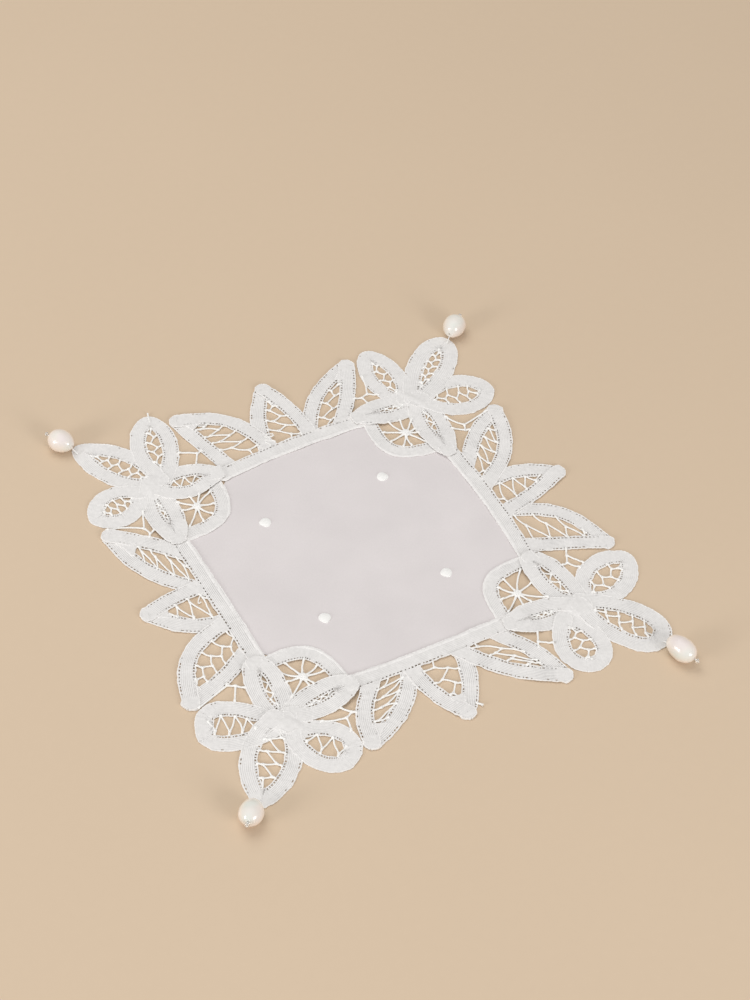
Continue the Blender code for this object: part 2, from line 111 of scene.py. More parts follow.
# %% Petals
Petal = namedtuple("Petal", "name root_u root_v tip_u tip_v half_width tip_power")
ROOT_POWER = 0.75
PETALS = {
    "north_east": (
        Petal("side_a", 42.3, 50.6, 41.2, 74.1, 4.9, 0.70),
        Petal("outer", 45.6, 48.3, 68.6, 69.6, 5.4, 0.50),
        Petal("side_b", 49.2, 47.1, 71.2, 43.4, 6.5, 0.60),
        Petal("inner_a", 48.4, 48.0, 24.8, 48.8, 3.3, 0.80),
        Petal("inner_b", 47.2, 49.5, 45.1, 23.6, 3.5, 0.80),
    ),
    "south_east": (
        Petal("side_a", 48.7, 54.8, 40.2, 74.9, 6.2, 0.70),
        Petal("outer", 49.4, 51.7, 71.6, 68.3, 6.3, 0.40),
        Petal("side_b", 53.5, 44.5, 71.4, 44.1, 6.1, 0.50),
        Petal("inner_a", 51.1, 52.0, 28.0, 46.7, 3.8, 0.60),
        Petal("inner_b", 49.7, 48.7, 47.9, 28.3, 3.2, 0.80),
    ),
    "south_west": (
        Petal("side_a", 49.7, 56.4, 37.4, 69.6, 5.9, 0.50),
        Petal("outer", 51.0, 49.4, 67.2, 72.3, 6.4, 0.80),
        Petal("side_b", 52.3, 51.5, 72.1, 43.0, 6.0, 0.30),
        Petal("inner_a", 47.7, 49.5, 27.3, 47.5, 3.2, 0.60),
        Petal("inner_b", 50.1, 52.5, 49.6, 29.4, 3.5, 0.50),
    ),
    "north_west": (
        Petal("side_a", 47.2, 55.1, 43.2, 71.0, 5.6, 0.70),
        Petal("outer", 48.7, 47.3, 72.4, 65.2, 5.4, 0.80),
        Petal("side_b", 50.6, 45.7, 75.4, 40.2, 5.1, 0.60),
        Petal("inner_a", 49.1, 50.9, 25.3, 51.3, 3.2, 0.70),
        Petal("inner_b", 47.3, 48.7, 45.1, 29.2, 4.4, 0.90),
    ),
}


def petal_ends(petal):
    """A petal's root, its tip, and the direction from the one to the other."""
    root = np.array((petal.root_u, petal.root_v))
    tip = np.array((petal.tip_u, petal.tip_v))
    return root, tip, unit(tip - root)


def petal_line(petal, steps=160):
    """The tape's middle line round a petal: out along its left side and back along its right."""
    root, tip, axis = petal_ends(petal)
    widest = ROOT_POWER / (ROOT_POWER + petal.tip_power)
    share = (1 - np.cos(np.linspace(0, math.pi, steps))) / 2
    swell = (share / widest) ** ROOT_POWER * ((1 - share) / (1 - widest)) ** petal.tip_power
    across = np.outer(petal.half_width * swell, left_of(axis))
    along = root + np.outer(share, tip - root)
    return np.concatenate([along + across, (along - across)[-2::-1]])


# %% Leaves, borders, arcs
Turn = namedtuple("Turn", "u v bulge")
ZIGZAGS = {
    "north": (
        Turn(-24.3, 48.5, 0.0),
        Turn(-31.5, 71.9, 0.3),
        Turn(-8.8, 51.5, 5.4),
        Turn(0.9, 73.9, 1.8),
        Turn(6.7, 49.4, 1.6),
        Turn(32.3, 73.0, 4.0),
        Turn(19.9, 51.2, 1.1),
    ),
    "east": (
        Turn(-19.6, 51.4, 0.0),
        Turn(-33.5, 69.1, 1.6),
        Turn(-6.3, 50.7, 4.5),
        Turn(-0.5, 74.3, 2.6),
        Turn(7.2, 50.4, 0.7),
        Turn(32.1, 73.0, 5.9),
        Turn(22.9, 49.2, -0.4),
    ),
    "south": (
        Turn(-23.7, 50.7, 0.0),
        Turn(-33.4, 71.4, 1.5),
        Turn(-9.2, 50.8, 2.2),
        Turn(0.0, 70.8, 1.6),
        Turn(7.7, 49.3, 1.7),
        Turn(30.4, 68.4, 3.3),
        Turn(22.2, 51.0, 1.8),
    ),
    "west": (
        Turn(-23.9, 50.2, 0.0),
        Turn(-34.1, 72.3, 1.1),
        Turn(-11.2, 49.5, 6.5),
        Turn(1.2, 71.1, 2.9),
        Turn(4.4, 53.0, 0.9),
        Turn(34.8, 70.2, 4.0),
        Turn(17.6, 50.8, 0.9),
    ),
}
BORDER_STATIONS = (-28.0, -10.0, 10.0, 25.0)
BORDER_LINES = {
    "north": (43.8, 46.3, 47.3, 47.4),
    "east": (45.4, 47.5, 47.1, 46.6),
    "south": (46.6, 47.3, 47.7, 47.1),
    "west": (48.3, 48.7, 50.4, 50.8),
}
Arc = namedtuple("Arc", "a_u a_v b_u b_v bulge")
ARCS = {
    "north_east": Arc(27.2, 45.5, 42.5, 27.0, 7.8),
    "south_east": Arc(28.1, 44.0, 45.0, 27.4, 7.2),
    "south_west": Arc(28.4, 44.5, 46.5, 30.3, 6.8),
    "north_west": Arc(25.4, 48.5, 42.5, 31.2, 7.4),
}


def bowed(start, end, bulge, steps=60):
    """A line from start to end that bows to its left by bulge."""
    start, end = np.asarray(start, float), np.asarray(end, float)
    share = np.linspace(0, 1, steps)
    rise = bulge * np.sin(math.pi * share)
    return start + np.outer(share, end - start) + np.outer(rise, left_of(unit(end - start)))


def zigzag_arms(side):
    turns = ZIGZAGS[side]
    ends = [np.array((turn.u, turn.v)) for turn in turns]
    return [bowed(ends[i], ends[i + 1], turns[i + 1].bulge) for i in range(len(turns) - 1)]


def border_curve(side):
    return np.polyfit(BORDER_STATIONS, BORDER_LINES[side], 2)


def border_line(side, reach, steps=80):
    along = np.linspace(-reach, reach, steps)
    return np.stack([along, np.polyval(border_curve(side), along)], axis=1)


def arc_line(corner):
    place = ARCS[corner]
    return bowed((place.a_u, place.a_v), (place.b_u, place.b_v), -place.bulge)


# %% [markdown]
# ## Gathering many small shapes into one mesh
#
# A tape has hundreds of small holes and a filling has dozens of threads. Making an object for each would
# be slow, so a Batch collects points and faces in plain arrays and hands them to Blender once. Every
# corner of a face also gets its place on the fabric, in millimetres along and across. It is kept as a UV
# map, because the weave has to follow the tape round its bends, which no object coordinate can do.

# %% A batch of points and faces
class Batch:
    def __init__(self):
        self.points = []
        self.faces = []
        self.places = []
        self.shows = []
        self.count = 0

    def add(self, points, *groups, shows=0.0):
        """A group is faces, as rows of point numbers, and the place on the fabric of each corner. The keyword
        argument says, for each point or for all, how clearly the tape's lengthwise threads show there. It is
        -1 on an edge cord, which the tape's finish paints brighter: a painted highlight for a cord that
        stands up into the light."""
        for faces, places in groups:
            self.faces.append(np.asarray(faces) + self.count)
            self.places.append(np.asarray(places, float).reshape(-1, 2))
        self.points.append(np.asarray(points, float).reshape(-1, 3))
        self.shows.append(np.broadcast_to(shows, len(self.points[-1])))
        self.count += len(self.points[-1])

    def mesh(self, name, quarters=0, sharp=math.radians(50)):
        points = turned(np.concatenate(self.points), quarters) * MM
        points[:, 2] = np.maximum(points[:, 2], 0.0)  # what lies on the surface is pressed flat on it
        sizes = np.concatenate([np.full(len(faces), faces.shape[1]) for faces in self.faces])
        corners = np.concatenate([faces.ravel() for faces in self.faces])
        data = bpy.data.meshes.new(name)
        data.vertices.add(len(points))
        data.vertices.foreach_set("co", points.ravel())
        data.loops.add(len(corners))
        data.loops.foreach_set("vertex_index", corners.astype(np.int32))
        data.polygons.add(len(sizes))
        firsts = np.concatenate([[0], np.cumsum(sizes)[:-1]])
        data.polygons.foreach_set("loop_start", firsts.astype(np.int32))
        data.update(calc_edges=True)
        weave = data.uv_layers.new(name="weave")
        weave.uv.foreach_set("vector", np.concatenate(self.places).ravel())
        shows = data.attributes.new("warp_lined_or_lit", "FLOAT", "POINT")
        shows.data.foreach_set("value", np.concatenate(self.shows).astype(np.float32))
        data.shade_smooth()
        data.set_sharp_from_angle(angle=sharp)
        data.validate()
        return data


def grid_faces(rows, columns, places, keep=None):
    """The quads of a grid of points. Where places has a column more than the points, the grid closes
    into a tube. keep says which of its cells stay."""
    spans = places.shape[1] - 1
    if keep is None:
        keep = np.ones((rows - 1, spans), bool)
    i, j = np.nonzero(keep)
    beside = (j + 1) % columns
    faces = [i * columns + j, i * columns + beside, (i + 1) * columns + beside, (i + 1) * columns + j]
    where = [places[i, j], places[i, j + 1], places[i + 1, j + 1], places[i + 1, j]]
    return np.stack(faces, axis=1), np.stack(where, axis=1)


def add_sheet(batch, top, bottom, places, keep=None, shows=0.0):
    """A thin sheet with an upper and a lower face, and a wall round its edge and round each hole."""
    rows, columns = top.shape[:2]
    if keep is None:
        keep = np.ones((rows - 1, columns - 1), bool)
    faces, where = grid_faces(rows, columns, places, keep)
    under = rows * columns
    groups = [(faces, where), (faces[:, ::-1] + under, where[:, ::-1])]
    i, j = np.nonzero(keep)
    around = np.pad(keep, 1)
    ring = ((0, 0), (0, 1), (1, 1), (1, 0))
    for side, (down, over) in enumerate(((-1, 0), (0, 1), (1, 0), (0, -1))):
        bare = ~around[i + 1 + down, j + 1 + over]
        (a_i, a_j), (b_i, b_j) = ring[side], ring[(side + 1) % 4]
        a_i, a_j, b_i, b_j = i[bare] + a_i, j[bare] + a_j, i[bare] + b_i, j[bare] + b_j
        a, b = a_i * columns + a_j, b_i * columns + b_j
        where = np.stack([places[b_i, b_j], places[a_i, a_j], places[a_i, a_j], places[b_i, b_j]], axis=1)
        groups.append((np.stack([b, a, a + under, b + under], axis=1), where))
    shows = np.broadcast_to(shows, top.shape[:2]).ravel()
    points = np.concatenate([top.reshape(-1, 3), bottom.reshape(-1, 3)])
    batch.add(points, *groups, shows=np.concatenate([shows, shows]))


LEAST_STEP = 0.03  # in plan, so that a cord always has a heading


def add_cord(batch, path, radius, sides=6, flat=1.0, around_place=1.0, shows=-1.0):
    """A round cord along a path in space. radius is one number, or one for each point, and flat is the
    cord's height as a share of its width. around_place is how far the place on the fabric goes across
    the cord once round it. Its last argument is -1 unless given: the tape's finish paints such a cord
    brighter, a painted highlight, and the thread's finish doesn't read it."""
    path = np.asarray(path, float)
    radius = np.broadcast_to(radius, len(path))
    moved = np.append(True, np.linalg.norm(np.diff(path[:, :2], axis=0), axis=1) > LEAST_STEP)
    path, radius = path[moved], radius[moved]
    if len(path) < 3:
        return
    along = unit(np.gradient(path, axis=0))
    side = unit(np.cross((0, 0, 1), along))
    up = np.cross(along, side) * flat
    angles = np.linspace(0, 2 * math.pi, sides, endpoint=False)
    ring = np.cos(angles)[None, :, None] * side[:, None] + np.sin(angles)[None, :, None] * up[:, None]
    points = path[:, None] + radius[:, None, None] * ring
    travel = travel_along(path)
    round_it = around_place * np.linspace(0, 1, sides + 1)
    places = np.stack(np.broadcast_arrays(travel[:, None], round_it[None]), axis=2)
    first = np.arange(sides)[None, ::-1]
    last = (len(path) - 1) * sides + np.arange(sides)[None]
    caps = [(first, np.zeros((1, sides, 2))), (last, np.zeros((1, sides, 2)))]
    batch.add(points, grid_faces(len(path), sides, places), *caps, shows=shows)


def add_disc(batch, top, bottom, places):
    """A thin disc from two grids of points, whose rows are rings from the middle out. places has the
    place on the fabric of each point of a ring, and the ring's first point again."""
    rings, rays = top.shape[:2]
    faces, where = grid_faces(rings, rays, places)
    under = rings * rays
    around = np.arange(rays)
    beside = (around + 1) % rays
    rim = (rings - 1) * rays
    wall = np.stack([rim + around, rim + around + under, rim + beside + under, rim + beside], axis=1)
    rim_places = places[-1]
    wall_places = np.stack([rim_places[:-1], rim_places[:-1], rim_places[1:], rim_places[1:]], axis=1)
    batch.add(
        np.concatenate([top.reshape(-1, 3), bottom.reshape(-1, 3)]),
        (faces[:, ::-1], where[:, ::-1]),
        (faces + under, where),
        (wall, wall_places),
        (around[None], places[:1, :-1]),
        (around[None, ::-1] + under, places[:1, :-1][:, ::-1]),
    )


# %% [markdown]
# ## Putting a piece in the scene
#
# Every piece rides on the doily's one body, takes the finish that it is given and may stand for
# plain solids, which are then hidden.

# %% Add a piece
PIECES = {}


def add_piece(name, batch, material, quarters=0, stands_for=()):
    data = batch.mesh(name, quarters)
    data.materials.append(material)
    piece = bpy.data.objects.new(name, data)
    SCENE.collection.objects.link(piece)
    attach(piece, "root")
    if stands_for:
        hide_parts(*stands_for)
    PIECES[name] = piece
    print(f"{name}: {sum(len(face.vertices) - 2 for face in data.polygons)} triangles")
    return piece


# %% [markdown]
# ## Finishes
#
# Three effects are shared. The tape's weave is drawn along and across the tape from its UV map. A
# thread's twist runs round it as slanting ridges. A soft mottle in the object's own space keeps every
# white from being one flat colour. Each is a node group with named inputs, so that a material only says
# how much of it it wants.

# %% A helper that builds node groups
def new_group(name, inputs, outputs):
    """An empty group with number inputs and number outputs. Returns it with its two ends."""
    group = bpy.data.node_groups.new(name, "ShaderNodeTree")
    for socket, value in inputs.items():
        made = group.interface.new_socket(socket, in_out="INPUT", socket_type="NodeSocketFloat")
        made.default_value = value
    for socket in outputs:
        group.interface.new_socket(socket, in_out="OUTPUT", socket_type="NodeSocketFloat")
    return group, group.nodes.new("NodeGroupInput"), group.nodes.new("NodeGroupOutput")


def maths(tree, operation, *values):
    """A Math node whose inputs are numbers or sockets. Returns its output."""
    node = tree.nodes.new("ShaderNodeMath")
    node.operation = operation
    for socket, value in zip(node.inputs, values):
        if isinstance(value, (int, float)):
            socket.default_value = value
        else:
            tree.links.new(value, socket)
    return node.outputs[0]


def ridges(tree, place, pitch):
    """A wave from 0 to 1 and back for each pitch along a place."""
    turns = maths(tree, "DIVIDE", place, pitch)
    wave = maths(tree, "SINE", maths(tree, "MULTIPLY", turns, 2 * math.pi))
    return maths(tree, "MULTIPLY_ADD", wave, 0.5, 0.5)


def fabric_place(tree):
    """The place along and across the fabric, in millimetres, from the UV map."""
    node = tree.nodes.new("ShaderNodeUVMap")
    node.uv_map = "weave"
    apart = tree.nodes.new("ShaderNodeSeparateXYZ")
    tree.links.new(node.outputs["UV"], apart.inputs[0])
    return apart.outputs["X"], apart.outputs["Y"]


def noise(tree, scale, detail=2.0):
    """Soft noise in the object's space, from 0 to 1, with features about 1 / scale metres wide."""
    place = tree.nodes.new("ShaderNodeTexCoord")
    node = tree.nodes.new("ShaderNodeTexNoise")
    if isinstance(scale, (int, float)):
        node.inputs["Scale"].default_value = scale
    else:
        tree.links.new(scale, node.inputs["Scale"])
    node.inputs["Detail"].default_value = detail
    tree.links.new(place.outputs["Object"], node.inputs["Vector"])
    return node.outputs[0]


# %% The woven tape's threads
CLOSE_WEAVE_DEPTH = 0.26  # so that plain stretches are as bright as lined ones; cords and hems, spared it, get a painted highlight


def make_weave_group():
    inputs = {"Warp Pitch": 0.6, "Weft Pitch": 0.4, "Shade Depth": 0.3, "Patch Scale": 150.0}
    tree, given, result = new_group("woven_tape", inputs, ("Shade", "Height"))
    along, across = fabric_place(tree)
    uneven = noise(tree, 900.0)
    patches = noise(tree, given.outputs["Patch Scale"], 1.0)
    across = maths(tree, "MULTIPLY_ADD", patches, 0.6, across)
    warp = ridges(tree, across, given.outputs["Warp Pitch"])
    weft = ridges(tree, along, given.outputs["Weft Pitch"])
    lined_or_lit_field = tree.nodes.new("ShaderNodeAttribute")
    lined_or_lit_field.attribute_name = "warp_lined_or_lit"
    shows = maths(tree, "MULTIPLY_ADD", patches, 1.3, 0.1)
    shows = maths(tree, "MULTIPLY", shows, lined_or_lit_field.outputs["Fac"])
    shows = maths(tree, "MINIMUM", maths(tree, "MAXIMUM", shows, 0.06), 1.0)
    groove = maths(tree, "MULTIPLY", maths(tree, "POWER", maths(tree, "SUBTRACT", 1.0, warp), 1.6), shows)
    # Plain close weave is darkened by CLOSE_WEAVE_DEPTH. Edge cords (-1) and hems (-0.7) are spared most of
    # it, a painted highlight.
    close = maths(tree, "SUBTRACT", 1.0, maths(tree, "ABSOLUTE", lined_or_lit_field.outputs["Fac"]))
    groove = maths(tree, "MULTIPLY_ADD", close, CLOSE_WEAVE_DEPTH, groove)
    depth = maths(tree, "MULTIPLY_ADD", maths(tree, "SUBTRACT", 1.0, weft), 0.12, groove)
    depth = maths(tree, "MULTIPLY_ADD", maths(tree, "SUBTRACT", 0.5, uneven), 0.5, depth)
    shade = maths(tree, "MULTIPLY", depth, given.outputs["Shade Depth"])
    height = maths(tree, "SUBTRACT", maths(tree, "MULTIPLY_ADD", uneven, 0.5, 1.0), depth)
    tree.links.new(maths(tree, "SUBTRACT", 1.0, shade), result.inputs["Shade"])
    tree.links.new(height, result.inputs["Height"])
    return tree


# %% The twist of a thread
def make_twist_group():
    inputs = {"Twist Pitch": 0.5, "Strands": 3.0, "Shade Depth": 0.12}
    tree, given, result = new_group("twisted_thread", inputs, ("Shade", "Height"))
    along, around = fabric_place(tree)
    slant = maths(tree, "MULTIPLY", maths(tree, "MULTIPLY", around, given.outputs["Strands"]), 0.5)
    height = ridges(tree, maths(tree, "ADD", along, slant), given.outputs["Twist Pitch"])
    depth = maths(tree, "MULTIPLY", maths(tree, "SUBTRACT", 1.0, height), given.outputs["Shade Depth"])
    tree.links.new(maths(tree, "SUBTRACT", 1.0, depth), result.inputs["Shade"])
    tree.links.new(height, result.inputs["Height"])
    return tree


# %% The soft mottle of cotton
def make_mottle_group():
    inputs = {"Patch Scale": 60.0, "Fibre Scale": 2500.0, "Amount": 0.05}
    tree, given, result = new_group("cotton_mottle", inputs, ("Shade", "Fibres"))
    patches = noise(tree, given.outputs["Patch Scale"], 3.0)
    fibres = noise(tree, given.outputs["Fibre Scale"], 1.0)
    both = maths(tree, "ADD", maths(tree, "MULTIPLY", patches, 0.7), maths(tree, "MULTIPLY", fibres, 0.3))
    shade = maths(tree, "MULTIPLY_ADD", maths(tree, "SUBTRACT", both, 0.5), given.outputs["Amount"], 1.0)
    tree.links.new(shade, result.inputs["Shade"])
    tree.links.new(fibres, result.inputs["Fibres"])
    return tree


WEAVE = make_weave_group()
TWIST = make_twist_group()
MOTTLE = make_mottle_group()


# %% A cotton material from the shared effects
def use_group(tree, group, **values):
    node = tree.nodes.new("ShaderNodeGroup")
    node.node_tree = group
    for socket, value in values.items():
        node.inputs[socket.replace("_", " ")].default_value = value
    return node


def tinted(tree, colour, shade):
    """The colour made darker by a shade that changes over the surface."""
    node = tree.nodes.new("ShaderNodeMix")
    node.data_type = "RGBA"
    node.blend_type = "MULTIPLY"
    node.inputs["Factor"].default_value = 1.0
    node.inputs["A"].default_value = (*colour, 1.0)
    tree.links.new(shade, node.inputs["B"])
    return node.outputs["Result"]


def new_material(name, roughness):
    material = bpy.data.materials.new(name)
    material.use_nodes = True
    tree = material.node_tree
    shader = tree.nodes["Principled BSDF"]
    shader.inputs["Roughness"].default_value = roughness
    return material, tree, shader


def bump(tree, shader, height, distance, strength=1.0):
    node = tree.nodes.new("ShaderNodeBump")
    node.inputs["Distance"].default_value = distance
    node.inputs["Strength"].default_value = strength
    tree.links.new(height, node.inputs["Height"])
    tree.links.new(node.outputs["Normal"], shader.inputs["Normal"])


def cotton(name, colour, roughness, pattern, bump_depth, mottle):
    """A white cotton. pattern is a node of one of the pattern groups, made in the material's tree."""
    material, tree, shader = new_material(name, roughness)
    threads = pattern(tree)
    patches = use_group(tree, MOTTLE, **mottle)
    shade = maths(tree, "MULTIPLY", threads.outputs["Shade"], patches.outputs["Shade"])
    tree.links.new(tinted(tree, colour, shade), shader.inputs["Base Color"])
    shader.inputs["Sheen Weight"].default_value = 0.15
    shader.inputs["Sheen Roughness"].default_value = 0.6
    bump(tree, shader, threads.outputs["Height"], bump_depth)
    return material


WARP_PITCH = 0.55
TAPE_COTTON = cotton(
    "tape_cotton",
    (0.90, 0.88, 0.865),
    0.8,
    lambda tree: use_group(tree, WEAVE, Warp_Pitch=WARP_PITCH, Weft_Pitch=0.4, Shade_Depth=0.36),
    0.00005,
    {"Patch_Scale": 90.0, "Amount": 0.10},
)
THREAD_COTTON = cotton(
    "thread_cotton",
    (0.97, 0.96, 0.94),
    0.6,
    lambda tree: use_group(tree, TWIST, Twist_Pitch=0.5, Strands=3.0, Shade_Depth=0.08),
    0.00002,
    {"Patch_Scale": 200.0, "Amount": 0.08},
)


# %% [markdown]
# ## The woven tape
#
# The tape is 5.5 mm wide. Its middle is a close plain weave, a few open bars run along each edge like a
# ladder, and a round cord finishes the edge. One way would be a flat strip with the holes painted on. The
# holes show the surface beneath, though, so they are cut in the mesh: the tape is a grid of small cells
# with some of the edge cells left out, and the edge cords are laid along it afterwards.
#
# The tape is described by rows. A row holds the left edge, the middle and the right edge, so that a bend
# can have its outer edge long and its inner edge short, and a fold can have its rows askew.

# %% Sizes of the tape
TAPE_WIDTH = 5.5
HALF_TAPE = TAPE_WIDTH / 2
ARC_WIDTH = 5.0
SHEET_THICKNESS = 0.3
CORD_RADIUS = 0.2
CORD_INSET = 0.2  # from the tape's edge to the middle of its cord
LADDER_INSET = 0.42  # from the tape's edge to the openwork
LADDER_WIDTH = 0.55
LADDER_PITCH = 1.25
HOLE_SHARE = 0.5  # of a pitch
HOLE_SPREAD = 0.25
LEAST_OPEN = 0.25
CLOSED_BEND = 0.42  # the outer edge is this much longer than the inner one where its ladder is closed
SMOOTH_BEND = 0.5  # where the two edges differ by this share, the gathered tape looks smooth
FAN_STEP = 0.12  # the most that a row turns from the last one, in radians
FADE_LENGTH = 2.5  # over which the lengthwise threads come to show
GROUND = 0.25  # how high the middle of the lowest tape lies
LAYER = 0.4  # from one layer of tape to the next
TAPE_COLUMNS = (-1.0, -1.0, -1.0, -0.35, 0.0, 0.35, 1.0, 1.0, 1.0)  # shares of the half width
HEIGHT_WANDER = 0.05
EDGE_RIPPLE = 0.16  # how far a gathered edge rises and falls
LADDER_RIPPLE = 0.10
SURFACE_UNEVENNESS = 0.03
ROUND_POWER = 2.5  # of a tape's rounded end: 2 is a circle, and more is blunter

chance = np.random.default_rng(11)


def wander(places, spacing):
    """A smooth random walk about 0 at the places along a line."""
    knots = np.arange(places[0] - spacing, places[-1] + 2 * spacing, spacing)
    return np.interp(places, knots, chance.normal(size=len(knots)))


def tape_rows(line, left_half=HALF_TAPE, right_half=HALF_TAPE):
    """The rows of a tape along a line, fanned out where the line turns sharply."""
    step = np.diff(line, axis=0)
    headings = np.unwrap(np.arctan2(step[:, 1], step[:, 0]))
    rows = []
    for place, start, end in zip(line, [headings[0], *headings], [*headings, headings[-1]]):
        count = 1 + int(abs(end - start) / FAN_STEP)
        for i in range(count):
            angle = start + (end - start) * (i + 0.5) / count
            normal = np.array((-math.sin(angle), math.cos(angle)))
            rows.append((place + left_half * normal, place, place - right_half * normal))
    return np.array(rows)


def at_marks(travel, marks, values):
    """Values of any shape, read at marks along the travel that goes with them."""
    flat = values.reshape(len(values), -1)
    read = np.stack([np.interp(marks, travel, column) for column in flat.T], axis=1)
    return read.reshape(len(marks), *values.shape[1:])


def travel_of(rows):
    steps = np.linalg.norm(np.diff(rows, axis=0), axis=2).max(axis=1)
    return np.concatenate([[0], np.cumsum(steps)])


# %% Lay a tape along its rows
def lay_tape(batch, rows, heights, open_left=1.0, open_right=1.0, plain_start=0.0, plain_end=0.0, lined=1.0):
    """heights has the height of the tape's middle for each row. open_left and open_right say how open
    the ladder along each edge is, from 0 to 1, and lined how clearly the lengthwise threads show. Over
    the lengths plain_start and plain_end, at the two ends, the ladder is closed and no threads show."""
    travel = travel_of(rows)
    count = max(2, round(travel[-1] / LADDER_PITCH))
    pitch = travel[-1] / count
    starts = np.arange(count)
    hole_ends = starts + HOLE_SHARE + HOLE_SPREAD * chance.uniform(-1, 1, count)
    marks = np.stack([starts, hole_ends, (hole_ends + starts + 1) / 2], axis=1)
    marks = np.append(marks.ravel(), count) * pitch
    left, middle, right = np.moveaxis(at_marks(travel, marks, rows), 1, 0)
    height = np.interp(marks, travel, heights) + HEIGHT_WANDER * wander(marks, 5.0)
    clear = np.clip(np.minimum(marks - plain_start, travel[-1] - plain_end - marks) / FADE_LENGTH, 0, 1)
    keep = np.ones((len(marks) - 1, len(TAPE_COLUMNS) - 1), bool)
    shares = np.tile(TAPE_COLUMNS, (len(marks), 1))
    lifts = np.zeros_like(shares)
    runs = [np.linalg.norm(np.diff(edge, axis=0), axis=1) for edge in (left, right)]
    for run, other, openness, side, columns in (
        (runs[0], runs[1], open_left, -1, (0, 1, 2)),
        (runs[1], runs[0], open_right, 1, (8, 7, 6)),
    ):
        slack = 1 - np.clip(run / np.diff(marks), 0, 1)
        slack = np.append(slack, slack[-1])
        bend = 1 - np.clip(other / np.maximum(run, 1e-6), 0, 1)
        uneven = 0.4 * wander(marks[:-1:3], 4.0) + 0.25 * chance.normal(size=count)
        opened = np.clip(openness + uneven, 0, 1) * (openness > 0) * (clear[:-1:3] > 0.2)
        opened *= np.clip(1 - bend[::3] / CLOSED_BEND, 0.3, 1) * (slack[:-1:3] < 0.6)
        wide = np.append(np.repeat(opened, 3), opened[-1])
        keep[::3][:count][opened > LEAST_OPEN, min(columns[1], columns[2])] = False
        cord, outer, inner = columns
        shares[:, cord] = side * (1 - CORD_INSET / HALF_TAPE + 0.03 * wander(marks, 1.3))
        shares[:, outer] = side * (1 - LADDER_INSET / HALF_TAPE)
        shares[:, inner] = side * (1 - (LADDER_INSET + LADDER_WIDTH * (0.5 + 0.5 * wide)) / HALF_TAPE)
        ripple = np.where(np.arange(len(marks)) % 3 == 2, 1.0, -0.6) * slack
        lifts[:, cord] = EDGE_RIPPLE * ripple
        lifts[:, outer] = EDGE_RIPPLE * ripple
        lifts[:, inner] = LADDER_RIPPLE * ripple
    reach = np.where(shares[..., None] < 0, (left - middle)[:, None], (right - middle)[:, None])
    reach = reach * (1 + 0.028 * wander(marks, 4.0) + 0.018 * wander(marks, 1.7))[:, None, None]
    plan = middle[:, None] + np.abs(shares)[..., None] * reach
    level = height[:, None] + lifts + SURFACE_UNEVENNESS * chance.normal(size=shares.shape)
    top = raised(plan, level + SHEET_THICKNESS / 2)
    bottom = raised(plan, level - SHEET_THICKNESS / 2)
    places = np.stack([np.broadcast_to(marks[:, None], shares.shape), shares * HALF_TAPE], axis=2)
    bends = np.abs(runs[0] - runs[1]) / np.maximum(runs[0], runs[1])
    shows = lined * np.clip(1.15 - np.append(bends, bends[-1]) / SMOOTH_BEND, 0.1, 1) * clear
    add_sheet(batch, top, bottom, places, keep, shows[:, None])
    bulges = CORD_RADIUS * (1 + 0.2 * np.where(np.arange(len(marks)) % 3 == 1, -1, 0.6))
    for column in (0, len(TAPE_COLUMNS) - 1):
        add_cord(batch, raised(plan[:, column], level[:, column]), bulges)


# %% Cutting, folding and rounding the ends of a tape
def cut_rows(rows, heights, past, skew=6.0):
    """The rows up to where each of the three lines crosses past, a function that is positive beyond the
    cut. The last rows, over the length skew, turn to lie along the cut."""
    crossings = []
    for line in np.moveaxis(rows, 1, 0):
        side = past(line)
        beyond = np.nonzero(side > 0)[0]
        if len(beyond) == 0:
            crossings.append(len(line) - 1.0)
            continue
        i = max(1, beyond[0])
        crossings.append(i - 1 + side[i - 1] / (side[i - 1] - side[i]))
    travel = travel_of(rows)
    start = np.searchsorted(travel, travel[int(min(crossings))] - skew)
    count = max(4, int(max(crossings)) - start)
    marks = np.arange(len(rows))
    ends = []
    for k, crossing in enumerate(crossings):
        ends.append(at_marks(marks, np.linspace(start, crossing, count), rows[:, k]))
    end = np.stack(ends, axis=1)
    end_heights = np.interp(np.linspace(start, max(crossings), count), marks, heights)
    return np.concatenate([rows[:start], end]), np.concatenate([heights[:start], end_heights])


def backwards(rows):
    return rows[::-1, ::-1]


def rounded_end(rows, reach=HALF_TAPE, power=ROUND_POWER):
    """The rows with the last of them drawn in towards the middle, so that the end is round."""
    travel = travel_of(rows)
    left_over = np.clip((travel[-1] - travel) / reach, 0.02, 1)
    width = (1 - (1 - left_over) ** power) ** (1 / power)
    return rows[:, 1:2] + (rows - rows[:, 1:2]) * width[:, None, None]


def rounded_ends(rows, reach=HALF_TAPE, power=ROUND_POWER):
    return backwards(rounded_end(backwards(rounded_end(rows, reach, power)), reach, power))


# %% [markdown]
# ## The straight borders
#
# One run of tape frames each side of the cloth. The raw edge of the cloth is rolled under it and whipped
# over, which leaves a smooth raised band along the tape's inner edge. The band is a flat cord of its own,
# laid on the tape, because the light catches it as one bright line. Its finish is also painted brighter
# than the tape's: a painted highlight.

# %% Borders
BORDER_REACH = 29.5
BORDER_HEIGHT = 0.5
BORDER_PLAIN = 5.0  # at each end, under a petal's tip
BORDER_LADDER = {"north": 0.35, "east": 0.5, "south": 0.28, "west": 0.42}
BORDER_LINED = {"north": 0.55, "east": 0.8, "south": 0.45, "west": 1.0}
HEM_INSET = 0.7
HEM_HALF_WIDTH = 0.5
HEM_FLATNESS = 0.3
HEM_RISE = 0.1  # over the middle of the tape
HEM_STEP = 0.4


